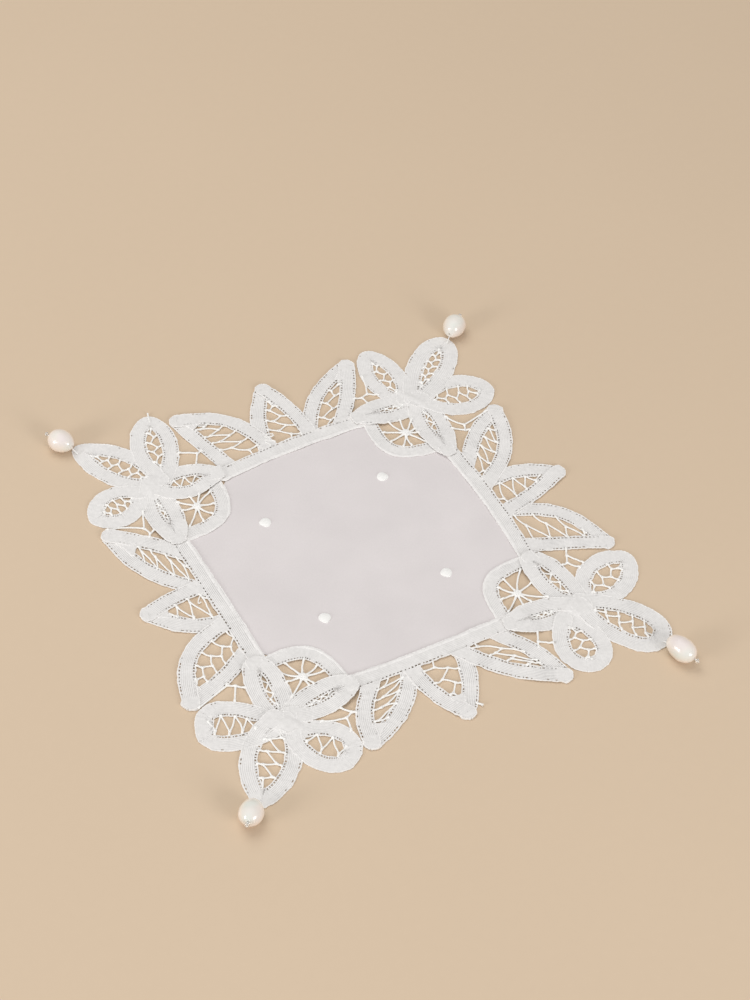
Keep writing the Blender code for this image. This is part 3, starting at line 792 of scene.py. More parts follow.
def lay_hem(batch, rows, heights, inset=HEM_INSET, half_width=HEM_HALF_WIDTH):
    """A smooth flat band along the right edge of a tape."""
    middle, right = rows[:, 1], rows[:, 2]
    share = 1 - inset / np.linalg.norm(right - middle, axis=1, keepdims=True)
    line = middle + (right - middle) * share
    travel = travel_of(rows)
    marks = np.arange(0, travel[-1], HEM_STEP)
    path = at_marks(travel, marks, raised(line, heights + HEM_RISE))
    path[:, :2] += 0.06 * np.outer(wander(marks, 3.0), (1, 1))
    width = half_width * (1 + 0.12 * wander(marks, 0.9))
    # The hem is given -0.7, so the tape's finish paints it brighter than plain tape: a painted highlight.
    add_cord(batch, path, width, sides=10, flat=HEM_FLATNESS, around_place=0.1, shows=-0.7)


for quarters, side in enumerate(SIDES):
    batch = Batch()
    rows = rounded_ends(tape_rows(border_line(side, BORDER_REACH)))
    heights = np.full(len(rows), BORDER_HEIGHT)
    ladder, lined = BORDER_LADDER[side], BORDER_LINED[side]
    lay_tape(batch, rows, heights, ladder, 0.0, BORDER_PLAIN, BORDER_PLAIN, lined)
    lay_hem(batch, rows, heights)
    name = f"border_tape_{side}"
    add_piece(f"woven_border_{side}", batch, TAPE_COTTON, quarters, [name])

# %% [markdown]
# ## The arcs
#
# A shorter, slightly gathered tape closes the window between the cloth and the flower. Its outer edge is
# sewn down on the cloth and has a hem band like the border's, a little narrower.

# %% Arcs
ARC_HEIGHT = 0.48
ARC_END_HEIGHT = 0.3
ARC_LINED = {"north_east": 0.7, "south_east": 0.9, "south_west": 0.6, "north_west": 0.9}

for quarters, corner in enumerate(CORNERS):
    batch = Batch()
    rows = tape_rows(arc_line(corner), ARC_WIDTH / 2, ARC_WIDTH / 2)
    share = travel_of(rows) / travel_of(rows)[-1]
    heights = ARC_END_HEIGHT + (ARC_HEIGHT - ARC_END_HEIGHT) * np.sin(math.pi * share) ** 0.5
    lay_tape(batch, rows, heights, open_left=0.9, open_right=0.0, lined=ARC_LINED[corner])
    lay_hem(batch, rows, heights, 0.5, 0.45)
    name = f"arc_tape_{corner}"
    add_piece(f"woven_arc_{corner}", batch, TAPE_COTTON, quarters, [name])

# %% [markdown]
# ## The flowers
#
# A flower is one long tape that loops out and back five times through the flower's middle. At a petal's
# tip the inner edge is gathered to a point, so there the rows fan round one place. At the root each end
# runs straight on through the middle, where the layers pile up, and a last short length of tape covers
# them.

# %% A petal's rows
ROOT_SHARE = 0.1  # of the petal's length, where the tape leaves its drawn line and runs straight on
ROOT_REACH = 5.5
FAN_RADIUS = 0.25
PETAL_ORDER = ("side_a", "side_b", "inner_a", "inner_b", "outer")
PULLED_IN = {("north_east", "outer"): 0.8, ("south_east", "outer"): 0.45}  # tapes stretched inwards
ROOT_LAYER = 0.1
RIGHT_LIFT = 0.12
TIP_LIFT = 0.75  # how far an inner petal's tip rises to lie on the border and the arc
FAN_START = 0.97  # of the petal's length: past it, and where its inner edges meet, the rows fan
PILE_SHARE = 0.42  # of the petal's length, over which it comes down from the pile at the root


def petal_rows(petal, pulled_in):
    line = petal_line(petal)
    root, tip, axis = petal_ends(petal)
    length = np.linalg.norm(tip - root)
    share = (line - root) @ axis / length
    middle = len(line) // 2
    first = np.nonzero(share[:middle] < ROOT_SHARE)[0][-1] + 1
    last = middle + np.nonzero(share[middle:] < ROOT_SHARE)[0][0] - 1
    out = line[first] - ROOT_REACH * unit(line[first + 1] - line[first])
    back = line[last] + ROOT_REACH * unit(line[last] - line[last - 1])
    stretch = np.linspace(0, 1, 12)[:, None]
    line = np.concatenate(
        [
            out + (line[first] - out) * stretch[:-1],
            line[first : last + 1],
            line[last] + (back - line[last]) * stretch[1:],
        ]
    )
    rows = tape_rows(line, HALF_TAPE, HALF_TAPE + pulled_in)
    across = (rows[:, 2] - root) @ left_of(axis)
    along = (rows[:, 1] - root) @ axis
    tip_row = int(along.argmax())
    start = tip_row
    while start > 0 and (across[start] < 0.05 or along[start] > FAN_START * length):
        start -= 1
    end = tip_row
    while end < len(rows) - 1 and (across[end] > -0.05 or along[end] > FAN_START * length):
        end += 1
    meet = root + axis * ((rows[start, 2] + rows[end, 2] - 2 * root) / 2 @ axis)
    fan = rows[start : end + 1, 1]
    rows[start : end + 1, 2] = meet + FAN_RADIUS * unit(fan - meet)
    return rows, along / length, tip_row


def petal_heights(petal, share, tip_row):
    """High at the root, where the petals pile up, and low further out."""
    layer = PETAL_ORDER.index(petal.name)
    root_height = GROUND + 0.1 + ROOT_LAYER * layer
    near_root = np.clip(1 - share / PILE_SHARE, 0, 1)
    heights = GROUND + (root_height - GROUND) * near_root**1.5
    heights[tip_row:] += RIGHT_LIFT * near_root[tip_row:]
    if petal.name.startswith("inner"):
        near_tip = np.clip((share - 0.5) / 0.3, 0, 1)
        heights += TIP_LIFT * near_tip**2 * (3 - 2 * near_tip)
    return heights


# %% Lay the petals
PETAL_ROOT = 6.0  # at each end of a petal's tape, sewn through other layers
FlowerTape = namedtuple("FlowerTape", "ladder inner_ladder lined")
FLOWER_TAPES = {
    "north_east": FlowerTape(0.45, 0.9, 0.5),
    "south_east": FlowerTape(0.7, 1.0, 0.85),
    "south_west": FlowerTape(1.0, 1.0, 1.0),
    "north_west": FlowerTape(0.55, 0.9, 0.55),
}
PATCH_HALF_LENGTH = 5.6
PATCH_HALF_WIDTH = 4.3
PATCH_HEADINGS = {"north_east": 135.0, "south_east": 45.0, "south_west": 135.0, "north_west": 135.0}
PATCH_CROWN = 1.12
PATCH_FALL = 0.7  # from the patch's crown to its edge
PATCH_RINGS = 22
PATCH_RAYS = 72
PATCH_POWER = 2.6
TIP_PATCH_LENGTH = 5.0
TIP_PATCH_HALF_WIDTH = HALF_TAPE - 0.2
TIP_PATCH_RISE = 0.16  # over the petal's tip
TIP_PATCH_FALL = 0.35  # from the tip to the patch's inner end


def add_centre_patch(batch, middle, heading):
    """The close-woven scrap over the crossing. Its edge sinks among the layers that it is sewn to."""
    turns = np.linspace(0, 2 * math.pi, PATCH_RAYS + 1)
    reach = blunt_reach(turns, PATCH_POWER)
    uneven = 1 + 0.05 * np.sin(2 * turns + chance.uniform(0, 6))
    uneven += 0.03 * np.sin(5 * turns + chance.uniform(0, 6))
    rim = np.stack([np.cos(turns) * PATCH_HALF_LENGTH, np.sin(turns) * PATCH_HALF_WIDTH], axis=1)
    rim *= (reach * uneven)[:, None]
    rim[-1] = rim[0]
    shares = np.linspace(0.03, 1, PATCH_RINGS)
    places = shares[:, None, None] * rim
    creases = np.zeros(places.shape[:2])
    for _ in range(4):
        direction = heading_of(chance.uniform(0, 360))
        creases += 0.035 * np.sin(places @ direction * chance.uniform(0.8, 2.2) + chance.uniform(0, 6))
    level = PATCH_CROWN + creases - PATCH_FALL * shares[:, None] ** PATCH_POWER
    plan = middle + places[..., :1] * heading + places[..., 1:] * left_of(heading)
    upper = raised(plan, level)[:, :-1]
    lower = upper - (0, 0, SHEET_THICKNESS)
    add_disc(batch, upper, lower, places)


def lay_tip_patch(batch, petal):
    """The plain scrap of tape over the tip of an inner petal."""
    _, tip, axis = petal_ends(petal)
    ends = tip + axis * (HALF_TAPE - 0.3), tip + axis * (HALF_TAPE - 0.3 - TIP_PATCH_LENGTH)
    rows = tape_rows(bowed(*ends, 0.0, 12), TIP_PATCH_HALF_WIDTH, TIP_PATCH_HALF_WIDTH)
    rows = rounded_ends(rows, 1.2, 4)
    share = np.linspace(0, 1, len(rows))
    heights = GROUND + TIP_LIFT + TIP_PATCH_RISE - TIP_PATCH_FALL * share**3
    lay_tape(batch, rows, heights, 0.0, 0.0, TIP_PATCH_LENGTH, TIP_PATCH_LENGTH)


for quarters, corner in enumerate(CORNERS):
    batch = Batch()
    roots = []
    for petal in PETALS[corner]:
        tape = FLOWER_TAPES[corner]
        rows, share, tip_row = petal_rows(petal, PULLED_IN.get((corner, petal.name), 0.0))
        rows = rounded_ends(rows)
        heights = petal_heights(petal, share, tip_row)
        ladder = tape.inner_ladder if petal.name.startswith("inner") else tape.ladder
        lay_tape(batch, rows, heights, 0.3 * ladder, ladder, PETAL_ROOT, PETAL_ROOT, tape.lined)
        roots.append((petal.root_u, petal.root_v))
        if petal.name.startswith("inner"):
            lay_tip_patch(batch, petal)
    middle = np.mean(roots, axis=0)
    add_centre_patch(batch, middle, heading_of(PATCH_HEADINGS[corner]))
    name = f"flower_{corner}"
    add_piece(f"woven_flower_{corner}", batch, TAPE_COTTON, quarters, [name])

# %% [markdown]
# ## The leaves
#
# Outside each border a tape zigzags to make three leaves. Each leaf is two strips, one that goes out low
# and one that comes back high over it. They meet in a blunt round end at the tip and are cut along the
# border's outer edge, where they are sewn. In some leaves a folded-in end of the tape, under the arms,
# closes the tip of the opening.

# %% Leaves
CREASE_REACH = 2.45
CAP_POWER = 2.4
CAP_SLACK = 0.25  # how much further out the limit lies than the round end's half width
MID_LOW = 0.05
LEAF_ROOT = 2.5  # where a leaf is sewn to the border, and at its tip, it is plain
LEAF_END = 6.0
OUTER_LADDER = 0.6
LEAF_LINED = {"north": 0.55, "east": 0.75, "south": 1.0, "west": 0.8}
COVER_HEIGHT = 0.40
COVER_OVERLAP = 1.1  # how far a cover reaches under the tapes on each side of it
INNER_EDGE = 2.5  # from the tape's middle line to the edge of the opening
LEAST_GAP = 0.5
OPENING_STEPS = 100
COVERS = {  # how far the folded end of the tape, under the arms, fills the opening's tip
    ("north", 0): 2.6,
    ("north", 2): 1.4,
    ("south", 1): 2.4,
    ("south", 2): 2.2,
    ("west", 0): 2.0,
    ("west", 1): 2.2,
    ("west", 2): 4.0,
}


def capped(points, turn, axis, normals):
    """Points kept inside the blunt round end of a leaf, whose crease lies across the axis, and inside
    the two outer edges of its arms, each given by its outward normal."""
    side = left_of(axis)
    along = (points - turn) @ axis
    across = (points - turn) @ side
    depth = np.clip((CREASE_REACH - along) / HALF_TAPE, 0, 1)
    half = HALF_TAPE * (1 - (1 - depth) ** CAP_POWER) ** (1 / CAP_POWER) + CAP_SLACK
    limited = np.where(depth < 1, np.clip(across, -half, half), across)
    for normal in normals:
        edge = (HALF_TAPE - along * (axis @ normal)) / (side @ normal)
        inside = np.minimum(limited, edge) if side @ normal > 0 else np.maximum(limited, edge)
        limited = np.where(along > 0, inside, limited)
    return turn + np.outer(along, axis) + np.outer(limited, side)


def leaf_rows(out, back, past_border):
    """The two strips of a leaf, each with its heights: out to the crease, and back from it."""
    turn = out[-1]
    headings = unit(out[-1] - out[-8]), unit(back[0] - back[7])
    axis = unit(headings[0] + headings[1])
    normals = left_of(headings[0]), -left_of(headings[1])

    def past_crease(points):
        return (points - turn) @ axis - CREASE_REACH

    strips = []
    for line, low in ((out, True), (back[::-1], False)):
        beyond = line[-1] + axis * np.linspace(0.5, 8, 12)[:, None]
        before = line[0] - unit(line[1] - line[0]) * np.linspace(8, 0.5, 12)[:, None]
        rows = tape_rows(np.concatenate([before, line, beyond]))
        travel = travel_of(rows)
        share = travel / travel[-1]
        lift = 0.0 if low else LAYER
        dip = np.sin(math.pi * np.clip((share - 0.12) / 0.7, 0, 1)) ** 2
        heights = GROUND + lift * (1 - dip) + MID_LOW * dip
        rows, heights = cut_rows(rows, heights, past_crease)
        rows, heights = backwards(rows), heights[::-1]
        rows, heights = cut_rows(rows, heights, past_border, 4.0)
        rows, heights = backwards(rows), heights[::-1]
        for edge in (0, 2):
            rows[:, edge] = capped(rows[:, edge], turn, axis, normals)
        strips.append((rows, heights))
    return strips


def opening(left, right):
    """Pairs of places on the two tapes, evenly spaced along the opening that is free between them."""
    pairs = np.stack([left, right], axis=1)
    free = np.nonzero(np.linalg.norm(left - right, axis=1) > 2 * INNER_EDGE + LEAST_GAP)[0]
    pairs = pairs[free[0] : free[-1] + 1]
    travel = travel_along(pairs.mean(axis=1))
    return at_marks(travel, np.linspace(0, travel[-1], OPENING_STEPS), pairs), travel[-1]


def fold_cover(batch, left, right, length):
    """The folded end of the tape, plain, from a leaf's crease back under the tip of its opening."""
    pairs, opening_length = opening(left, right)
    tip = pairs[-1].mean(axis=0)
    beyond = (left[-1] + right[-1]) / 2 - tip
    inner = pairs[int((1 - length / opening_length) * OPENING_STEPS) :]
    inward = unit(inner[:, 1] - inner[:, 0])
    reach = INNER_EDGE - COVER_OVERLAP
    edges = np.stack([inner[:, 0] + reach * inward, inner.mean(axis=1), inner[:, 1] - reach * inward], axis=1)
    rest = edges[-1] + np.linspace(0.1, 0.9, 10)[:, None, None] * beyond
    rows = rounded_end(backwards(np.concatenate([edges, rest])), 1.3, 3)
    rows = backwards(rows)
    lay_tape(batch, rows, np.full(len(rows), COVER_HEIGHT), 0.0, 0.0, LEAF_END, LEAF_END)


for quarters, side in enumerate(SIDES):
    curve = border_curve(side)

    def past_border(points):
        return np.polyval(curve, points[:, 0]) + HALF_TAPE - 0.3 - points[:, 1]

    batch = Batch()
    arms = zigzag_arms(side)
    for leaf, (out, back) in enumerate(zip(arms[0::2], arms[1::2])):
        (low, low_heights), (high, high_heights) = leaf_rows(out, back, past_border)
        lay_tape(batch, low, low_heights, OUTER_LADDER, 1.0, LEAF_ROOT, LEAF_END, LEAF_LINED[side])
        high, high_heights = backwards(high), high_heights[::-1]
        lay_tape(batch, high, high_heights, OUTER_LADDER, 1.0, LEAF_END, LEAF_ROOT, LEAF_LINED[side])
        if (side, leaf) in COVERS:
            fold_cover(batch, out, back[::-1], COVERS[side, leaf])
    name = f"leaves_{side}"
    add_piece(f"woven_leaves_{side}", batch, TAPE_COTTON, quarters, [name])

# %% [markdown]
# ## The thread fillings
#
# The openings are filled with a needle and a cream cotton thread. In the big petals and the leaves one
# thread zigzags up the middle and is tied to the tape at every turn, which leaves two rows of slanting
# cells. The narrow inner petals share one plain zigzag. A thread thickens where it is knotted to another,
# so a cord's radius swells towards its knots. The number of turns and their slant were set one by one.

# %% Threads
THREAD_RADIUS = 0.27
KNOT_SWELL = 0.75
KNOT_LENGTH = 0.42
END_SWELL = 0.45
END_LENGTH = 0.9
THREAD_SLACK = 0.035  # of a thread's length, how far it bows sideways
THREAD_HEIGHT = 0.38
STITCH_REACH = 2.1  # from the tape's middle line to where a thread enters it
LEAST_LEAN = 0.08
LAST_TURN = 0.97  # of an opening's length
THREAD_OVERRUN = 4.0  # beyond an opening, from where a thread is cut back to the tape that it meets


# lean is how far from a side a turn lies, as a share of the opening's width, and slope is how far the
# turn's tie rises towards the tip for each millimetre across. skew moves the turns on the right towards
# the tip and those on the left back, in steps from one turn to the next.
Filling = namedtuple("Filling", "turns left_lean right_lean left_slope right_slope skew")
NARROW_FILLING = Filling(7, 0.0, 0.0, 0.0, 0.0, 0.0)
FILLINGS = {
    ("north", 0): Filling(10, 0.30, 0.30, 0.5, 0.0, -0.5),
    ("north", 1): Filling(8, 0.30, 0.30, 0.35, -0.35, -0.15),
    ("north", 2): Filling(8, 0.36, 0.30, 0.3, 0.3, 0.0),
    ("east", 0): Filling(10, 0.20, 0.20, -0.25, 0.25, -0.3),
    ("east", 1): Filling(8, 0.0, 0.22, 0.0, 0.1, 0.0),
    ("east", 2): Filling(8, 0.40, 0.0, -0.8, 0.0, 0.5),
    ("south", 0): Filling(8, 0.38, 0.30, 1.8, 0.0, -0.5),
    ("south", 1): Filling(6, 0.30, 0.34, 0.45, 0.15, 0.2),
    ("south", 2): Filling(9, 0.0, 0.35, 0.0, 0.3, 0.65),
    ("west", 0): Filling(10, 0.34, 0.38, 0.35, 0.35, 0.0),
    ("west", 1): Filling(7, 0.12, 0.15, 0.1, 0.1, 0.2),
    ("west", 2): Filling(10, 0.0, 0.30, 0.0, 1.0, 0.75),
    ("north_east", "side_a"): Filling(8, 0.30, 0.34, 0.15, 0.15, 0.0),
    ("north_east", "outer"): Filling(12, 0.36, 0.40, 0.15, 0.15, 0.0),
    ("north_east", "side_b"): Filling(10, 0.40, 0.32, 0.2, 0.2, 0.1),
    ("south_east", "side_a"): Filling(8, 0.36, 0.36, 0.2, 0.2, -0.1),
    ("south_east", "outer"): Filling(10, 0.32, 0.36, -0.5, 0.8, -0.3),
    ("south_east", "side_b"): Filling(8, 0.38, 0.34, 0.2, 0.2, 0.0),
    ("south_west", "side_a"): Filling(6, 0.0, 0.28, 0.1, 0.1, 0.2),
    ("south_west", "outer"): Filling(10, 0.22, 0.26, 0.3, 0.1, -0.3),
    ("south_west", "side_b"): Filling(9, 0.22, 0.0, 0.1, 0.0, 0.1),
    ("north_west", "side_a"): Filling(10, 0.30, 0.40, 0.15, 0.15, 0.0),
    ("north_west", "outer"): Filling(12, 0.34, 0.38, 0.15, 0.15, 0.1),
    ("north_west", "side_b"): Filling(9, 0.34, 0.34, 0.3, 0.3, 0.0),
}


def between(near, far, lean):
    """A place in an opening, lean of the way across it from the near tape's inner edge."""
    width = np.linalg.norm(far - near)
    edge = min(INNER_EDGE, 0.45 * width)
    return near + (far - near) * (edge + lean * (width - 2 * edge)) / width


KNOT, SEWN, TUCKED = "knot", "sewn", "tucked"  # how a thread ends


def place_at(pairs, share):
    return pairs[min(max(int(share * OPENING_STEPS), 0), OPENING_STEPS - 1)]


def filling(left, right, style, covered=0.0):
    """Pairs of points that a filling's threads join, and how each thread's two ends are made. covered is
    how much of the opening's tip is closed."""
    pairs, length = opening(left, right)
    clear = 1 - covered / length
    ends = pairs[0].mean(axis=0), pairs[-1].mean(axis=0)
    further = THREAD_OVERRUN * unit(ends[1] - ends[0])
    turns = [ends[0] - further]
    threads = []
    for i in range(style.turns):
        near, lean, slope, skew = (1, style.right_lean, style.right_slope, style.skew)
        if i % 2:
            near, lean, slope, skew = (0, style.left_lean, style.left_slope, -style.skew)
        share = (i + 0.6 + skew + 0.15 * chance.uniform(-1, 1)) / style.turns
        lean += 0.04 * chance.uniform(-1, 1)
        if share > min(LAST_TURN, clear):
            continue
        here = place_at(pairs, share)
        turn = between(here[near], here[1 - near], lean)
        if lean > LEAST_LEAN:
            rise = slope * np.linalg.norm(turn - here[near])
            threads.append((turn, place_at(pairs, share + rise / length)[near], KNOT, SEWN))
        turns.append(turn)
    turns.append(ends[1] + further if covered == 0 else place_at(pairs, clear).mean(axis=0))
    for i in range(len(turns) - 1):
        first = KNOT if i > 0 else TUCKED
        last = KNOT if i < len(turns) - 2 else TUCKED
        threads.append((turns[i], turns[i + 1], first, last))
    return threads


def clear_of(points, lines, reach):
    """How many of the points, from the first on, stay further than reach from every line."""
    away = np.full(len(points), np.inf)
    for line in lines:
        away = np.minimum(away, np.linalg.norm(points[:, None] - line[None], axis=2).min(axis=1))
    hit = np.nonzero(away < reach)[0]
    return hit[0] if len(hit) else len(points)


THREAD_STEP = 0.3
LEAST_THREAD = 0.4
SEWN_BUMP = 0.35  # how far a thread rises over the tape's edge where it is sewn in
SEWN_PLACE = 0.7  # from the thread's end to the top of that rise
SEWN_SPREAD = 0.4
THREAD_SAG = 0.1  # of a thread's middle, below its ends


def lay_thread(batch, ends, kinds, lines, height=THREAD_HEIGHT, radius=THREAD_RADIUS, knot=KNOT_LENGTH):
    """A thread between two ends. One that isn't a knot stops a little way into the first tape it meets."""
    start, end = ends
    steps = max(6, int(2 * np.linalg.norm(end - start) / THREAD_STEP))
    points = start + np.linspace(0, 1, steps)[:, None] * (end - start)
    if kinds[0] != KNOT:
        points = points[len(points) - clear_of(points[::-1], lines, STITCH_REACH) :]
    if kinds[1] != KNOT and len(points) > 3:
        points = points[: max(2, clear_of(points, lines, STITCH_REACH))]
    if len(points) < 4:
        return
    points = points[::2] if len(points) > 8 else points
    travel = travel_along(points)
    total = travel[-1]
    if total < LEAST_THREAD:
        return
    side = left_of(unit(points[-1] - points[0]))
    bow = THREAD_SLACK * total * chance.normal() + 0.05 * wander(travel, 1.2)
    points = points + np.outer(bow * np.sin(math.pi * travel / total), side)
    level = height - THREAD_SAG * np.sin(math.pi * travel / total)
    swell = np.ones(len(points))
    for kind, away in zip(kinds, (travel, total - travel)):
        if kind == KNOT:
            swell += KNOT_SWELL * np.exp(-((away / knot) ** 2))
        elif kind == SEWN:
            level = level + SEWN_BUMP * np.exp(-((away - SEWN_PLACE) / SEWN_SPREAD) ** 2)
            swell += END_SWELL * np.exp(-((away / END_LENGTH) ** 2))
    add_cord(batch, raised(points, level), radius * swell, sides=8)


def lay_filling(batch, threads, lines):
    for start, end, first, last in threads:
        lay_thread(batch, (start, end), (first, last), lines)


# %% Fillings of the petals and the leaves
for quarters, corner in enumerate(CORNERS):
    batch = Batch()
    for petal in PETALS[corner]:
        key = corner, petal.name
        line = petal_line(petal)
        line = line - PULLED_IN.get(key, 0.0) * left_of(unit(np.gradient(line, axis=0)))
        middle = len(line) // 2
        left, right = line[: middle + 1], line[middle:][::-1]
        lay_filling(batch, filling(left, right, FILLINGS.get(key, NARROW_FILLING)), [line])
    add_piece(f"flower_threads_{corner}", batch, THREAD_COTTON, quarters)

for quarters, side in enumerate(SIDES):
    batch = Batch()
    arms = zigzag_arms(side)
    for leaf, (out, back) in enumerate(zip(arms[0::2], arms[1::2])):
        edges = [out, back, border_line(side, BORDER_REACH)]
        covered = COVERS.get((side, leaf), 0.0)
        lay_filling(batch, filling(out, back[::-1], FILLINGS[side, leaf], covered), edges)
    add_piece(f"leaf_threads_{side}", batch, THREAD_COTTON, quarters)

# %% [markdown]
# ## Wheels and webs
#
# In each window the maker ran nine or ten spokes from tape to tape and wove round their crossing, as a
# spider does. The small gaps beside the flowers hold two knots joined by a thread, each tied to the tapes by
# two more. A spoke is laid outwards until it meets a tape, so its length follows from the tapes around it.
# The u and v of each wheel and web were printed by a program, from pixels read in the photograph.

# %% Wheels
Wheel = namedtuple("Wheel", "u v spokes first hub")
WHEELS = {
    "north_east": Wheel(36.2, 36.3, 10, 10.0, 1.35),
    "south_east": Wheel(38.4, 35.9, 9, 25.0, 1.15),
    "south_west": Wheel(38.5, 39.1, 9, 5.0, 1.25),
    "north_west": Wheel(34.9, 40.2, 9, 15.0, 1.15),
}
SPOKE_REACH = 12.0
HUB_TURNS = 2.4
HUB_CORD = 0.34
SPOKE_RADIUS = 0.30
SPOKE_TAPER = 1.7  # over which a spoke thins out from the hub
SPOKE_HEIGHT = 0.45
HUB_START = 0.2  # the radius at which the weaving begins
HUB_HEIGHT = 0.72
HUB_FALL = 0.12  # from the middle of the hub to its rim
HUB_WAVE = 0.06  # how far the weaving goes over and under the spokes
HUB_STEPS = 24  # in one turn


def tapes_near(corner):
    """The middle lines of the tapes round a corner's window and beside its flower, in its own frame."""
    index = CORNERS.index(corner)
    lines = [petal_line(petal) for petal in PETALS[corner]]
    before, after = SIDES[index], SIDES[(index + 1) % 4]
    lines += [border_line(before, BORDER_REACH), turned(border_line(after, BORDER_REACH), 1)]
    lines += zigzag_arms(before) + [turned(arm, 1) for arm in zigzag_arms(after)]
    return lines


for quarters, corner in enumerate(CORNERS):
    wheel = WHEELS[corner]
    batch = Batch()
    middle = np.array((wheel.u, wheel.v))
    lines = tapes_near(corner) + [arc_line(corner)]
    for i in range(wheel.spokes):
        angle = wheel.first + (i + 0.25 * chance.uniform(-1, 1)) * 360 / wheel.spokes
        end = middle + SPOKE_REACH * heading_of(angle)
        lay_thread(batch, (middle, end), (KNOT, SEWN), lines, SPOKE_HEIGHT, SPOKE_RADIUS, SPOKE_TAPER)
    angles = np.linspace(0, 2 * math.pi * HUB_TURNS, int(HUB_STEPS * HUB_TURNS))
    spread = HUB_START + (wheel.hub - HUB_START) * angles / angles[-1]
    over_under = HUB_WAVE * np.sin(angles * wheel.spokes / 2)
    weaving = HUB_HEIGHT + over_under - HUB_FALL * angles / angles[-1]
    u, v = wheel.u + spread * np.cos(angles), wheel.v + spread * np.sin(angles)
    spiral = np.stack([u, v, weaving], axis=1)
    add_cord(batch, spiral, HUB_CORD, sides=8)
    add_piece(f"worked_wheel_{corner}", batch, THREAD_COTTON, quarters, [f"thread_wheel_{corner}"])

# %% Webs
Web = namedtuple("Web", "u v headings spare length first second")
WEB_RADIUS = 0.30
WEBS = {
    ("north_east", "a"): Web(30.2, 56.9, (-83, 165), 22, 2.6, 75, -30),
    ("north_east", "b"): Web(55.3, 29.6, (149, -24), 69, 2.4, 125, 15),
    ("south_east", "a"): Web(31.5, 58.2, (34, 153), -27, 3.0, -85, 40),
    ("south_east", "b"): Web(57.1, 32.4, (153, 59), -27, 2.4, -70, 30),
    ("south_west", "a"): Web(31.0, 56.4, (-47, 156), 29, 2.6, 80, -15),
    ("south_west", "b"): Web(58.0, 33.8, (139, 63), -30, 2.4, -80, 20),
    ("north_west", "a"): Web(30.6, 58.2, (-66, 153), 20, 2.8, 70, -20),
    ("north_west", "b"): Web(56.0, 31.0, (66, 153), -70, 2.2, -30, -115),
}

for (corner, which), web in WEBS.items():
    batch = Batch()
    lines = tapes_near(corner)
    middle = np.array((web.u, web.v))
    fork = middle + web.length * heading_of(web.spare)
    lay_thread(batch, (middle, fork), (KNOT, KNOT), lines, THREAD_HEIGHT, WEB_RADIUS)
    for start, headings in ((middle, web.headings), (fork, (web.first, web.second))):
        for heading in headings:
            end = start + SPOKE_REACH * heading_of(heading)
            lay_thread(batch, (start, end), (KNOT, SEWN), lines, THREAD_HEIGHT, WEB_RADIUS)
    name = f"thread_web_{corner}_{which}"
    add_piece(f"worked_web_{corner}_{which}", batch, THREAD_COTTON, CORNERS.index(corner), [name])

# %% [markdown]
# ## Loose ends
#
# Hand work leaves a few ends: two clipped tails at tape tips, a curl of thread in one leaf and some
# fraying where a tape was cut. Each is a smooth curve near a few places, in millimetres, at one height.

# %% Loose ends
LooseEnd = namedtuple("LooseEnd", "places height radius end_swell")
LOOSE_ENDS = {
    "south_tail": [LooseEnd([(3.8, -68.9), (4.4, -69.4), (5.0, -70.0), (5.4, -70.6)], 0.5, 0.3, 0.6)],
    "north_west_tail": [
        LooseEnd([(-39.8, 75.2), (-39.5, 76.5), (-39.2, 77.8), (-38.9, 79.1)], 0.5, 0.24, 0.3),
    ],
    "west_curl": [
        LooseEnd(
            [(-52.2, 2.4), (-53.4, 1.6), (-54.6, 0.6), (-55.5, -0.5), (-55.4, -1.3), (-54.7, -1.0)],
            0.45,
            0.2,
            0.0,
        )
    ],
    "north_fraying": [
        LooseEnd([(-8.0, 53.4), (-7.0, 52.8), (-6.0, 52.6), (-4.9, 52.9)], 0.95, 0.2, 0.5),
        LooseEnd([(-8.4, 52.2), (-7.3, 51.6), (-6.2, 50.9), (-5.6, 50.0)], 0.9, 0.18, 0.8),
        LooseEnd([(-7.4, 54.0), (-6.4, 54.1), (-5.4, 53.8), (-4.8, 53.5)], 0.85, 0.16, 0.6),
        LooseEnd([(-8.8, 51.2), (-8.0, 50.3), (-7.6, 49.6), (-7.9, 49.0)], 0.9, 0.18, 0.4),
    ],
}
LOOSE_STEPS = 24


def curve_through(places, steps):
    """A smooth line near a few places."""
    places = np.array(places)
    given, wanted = np.linspace(0, 1, len(places)), np.linspace(0, 1, steps)
    return np.stack([np.polyval(np.polyfit(given, axis, 3), wanted) for axis in places.T], axis=1)


for name, loose in LOOSE_ENDS.items():
    batch = Batch()
    for end in loose:
        line = curve_through(end.places, LOOSE_STEPS)
        path = raised(line, np.full(LOOSE_STEPS, end.height))
        swell = 1 + end.end_swell * np.linspace(0, 1, LOOSE_STEPS) ** 4
        add_cord(batch, path, end.radius * swell, sides=8)
    add_piece(f"loose_{name}", batch, THREAD_COTTON)

# %% [markdown]
# ## The cloth
#
# The middle is fine cotton lawn, almost smooth at this distance. Its edge is hidden under the borders and
# the arcs, and is taken to follow the middle line of those tapes. It is a grid of rings round the middle,
# which follows that outline without any cutting, and a few long soft waves lift it by less than half a
# millimetre, as on cloth that has been pressed and then handled.

# %% The cloth's outline
EDGE_REACH = 24.0
outline = []
for i, (side, corner) in enumerate(zip(SIDES, CORNERS)):
    outline += list(turned(border_line(side, EDGE_REACH, 30), i))
    outline += list(turned(arc_line(corner)[6:-6:4], i))
outline = np.array(outline)


def rim_reach(angle):
    """How far the outline lies from the origin in a direction."""
    ray = np.array((math.cos(angle), math.sin(angle)))
    a, b = outline, np.roll(outline, -1, axis=0)
    edge = b - a
    cross = ray[0] * edge[:, 1] - ray[1] * edge[:, 0]
    along = (a[:, 0] * edge[:, 1] - a[:, 1] * edge[:, 0]) / cross
    share = (a[:, 0] * ray[1] - a[:, 1] * ray[0]) / cross
    return along[(share >= 0) & (share <= 1) & (along > 0)].min()


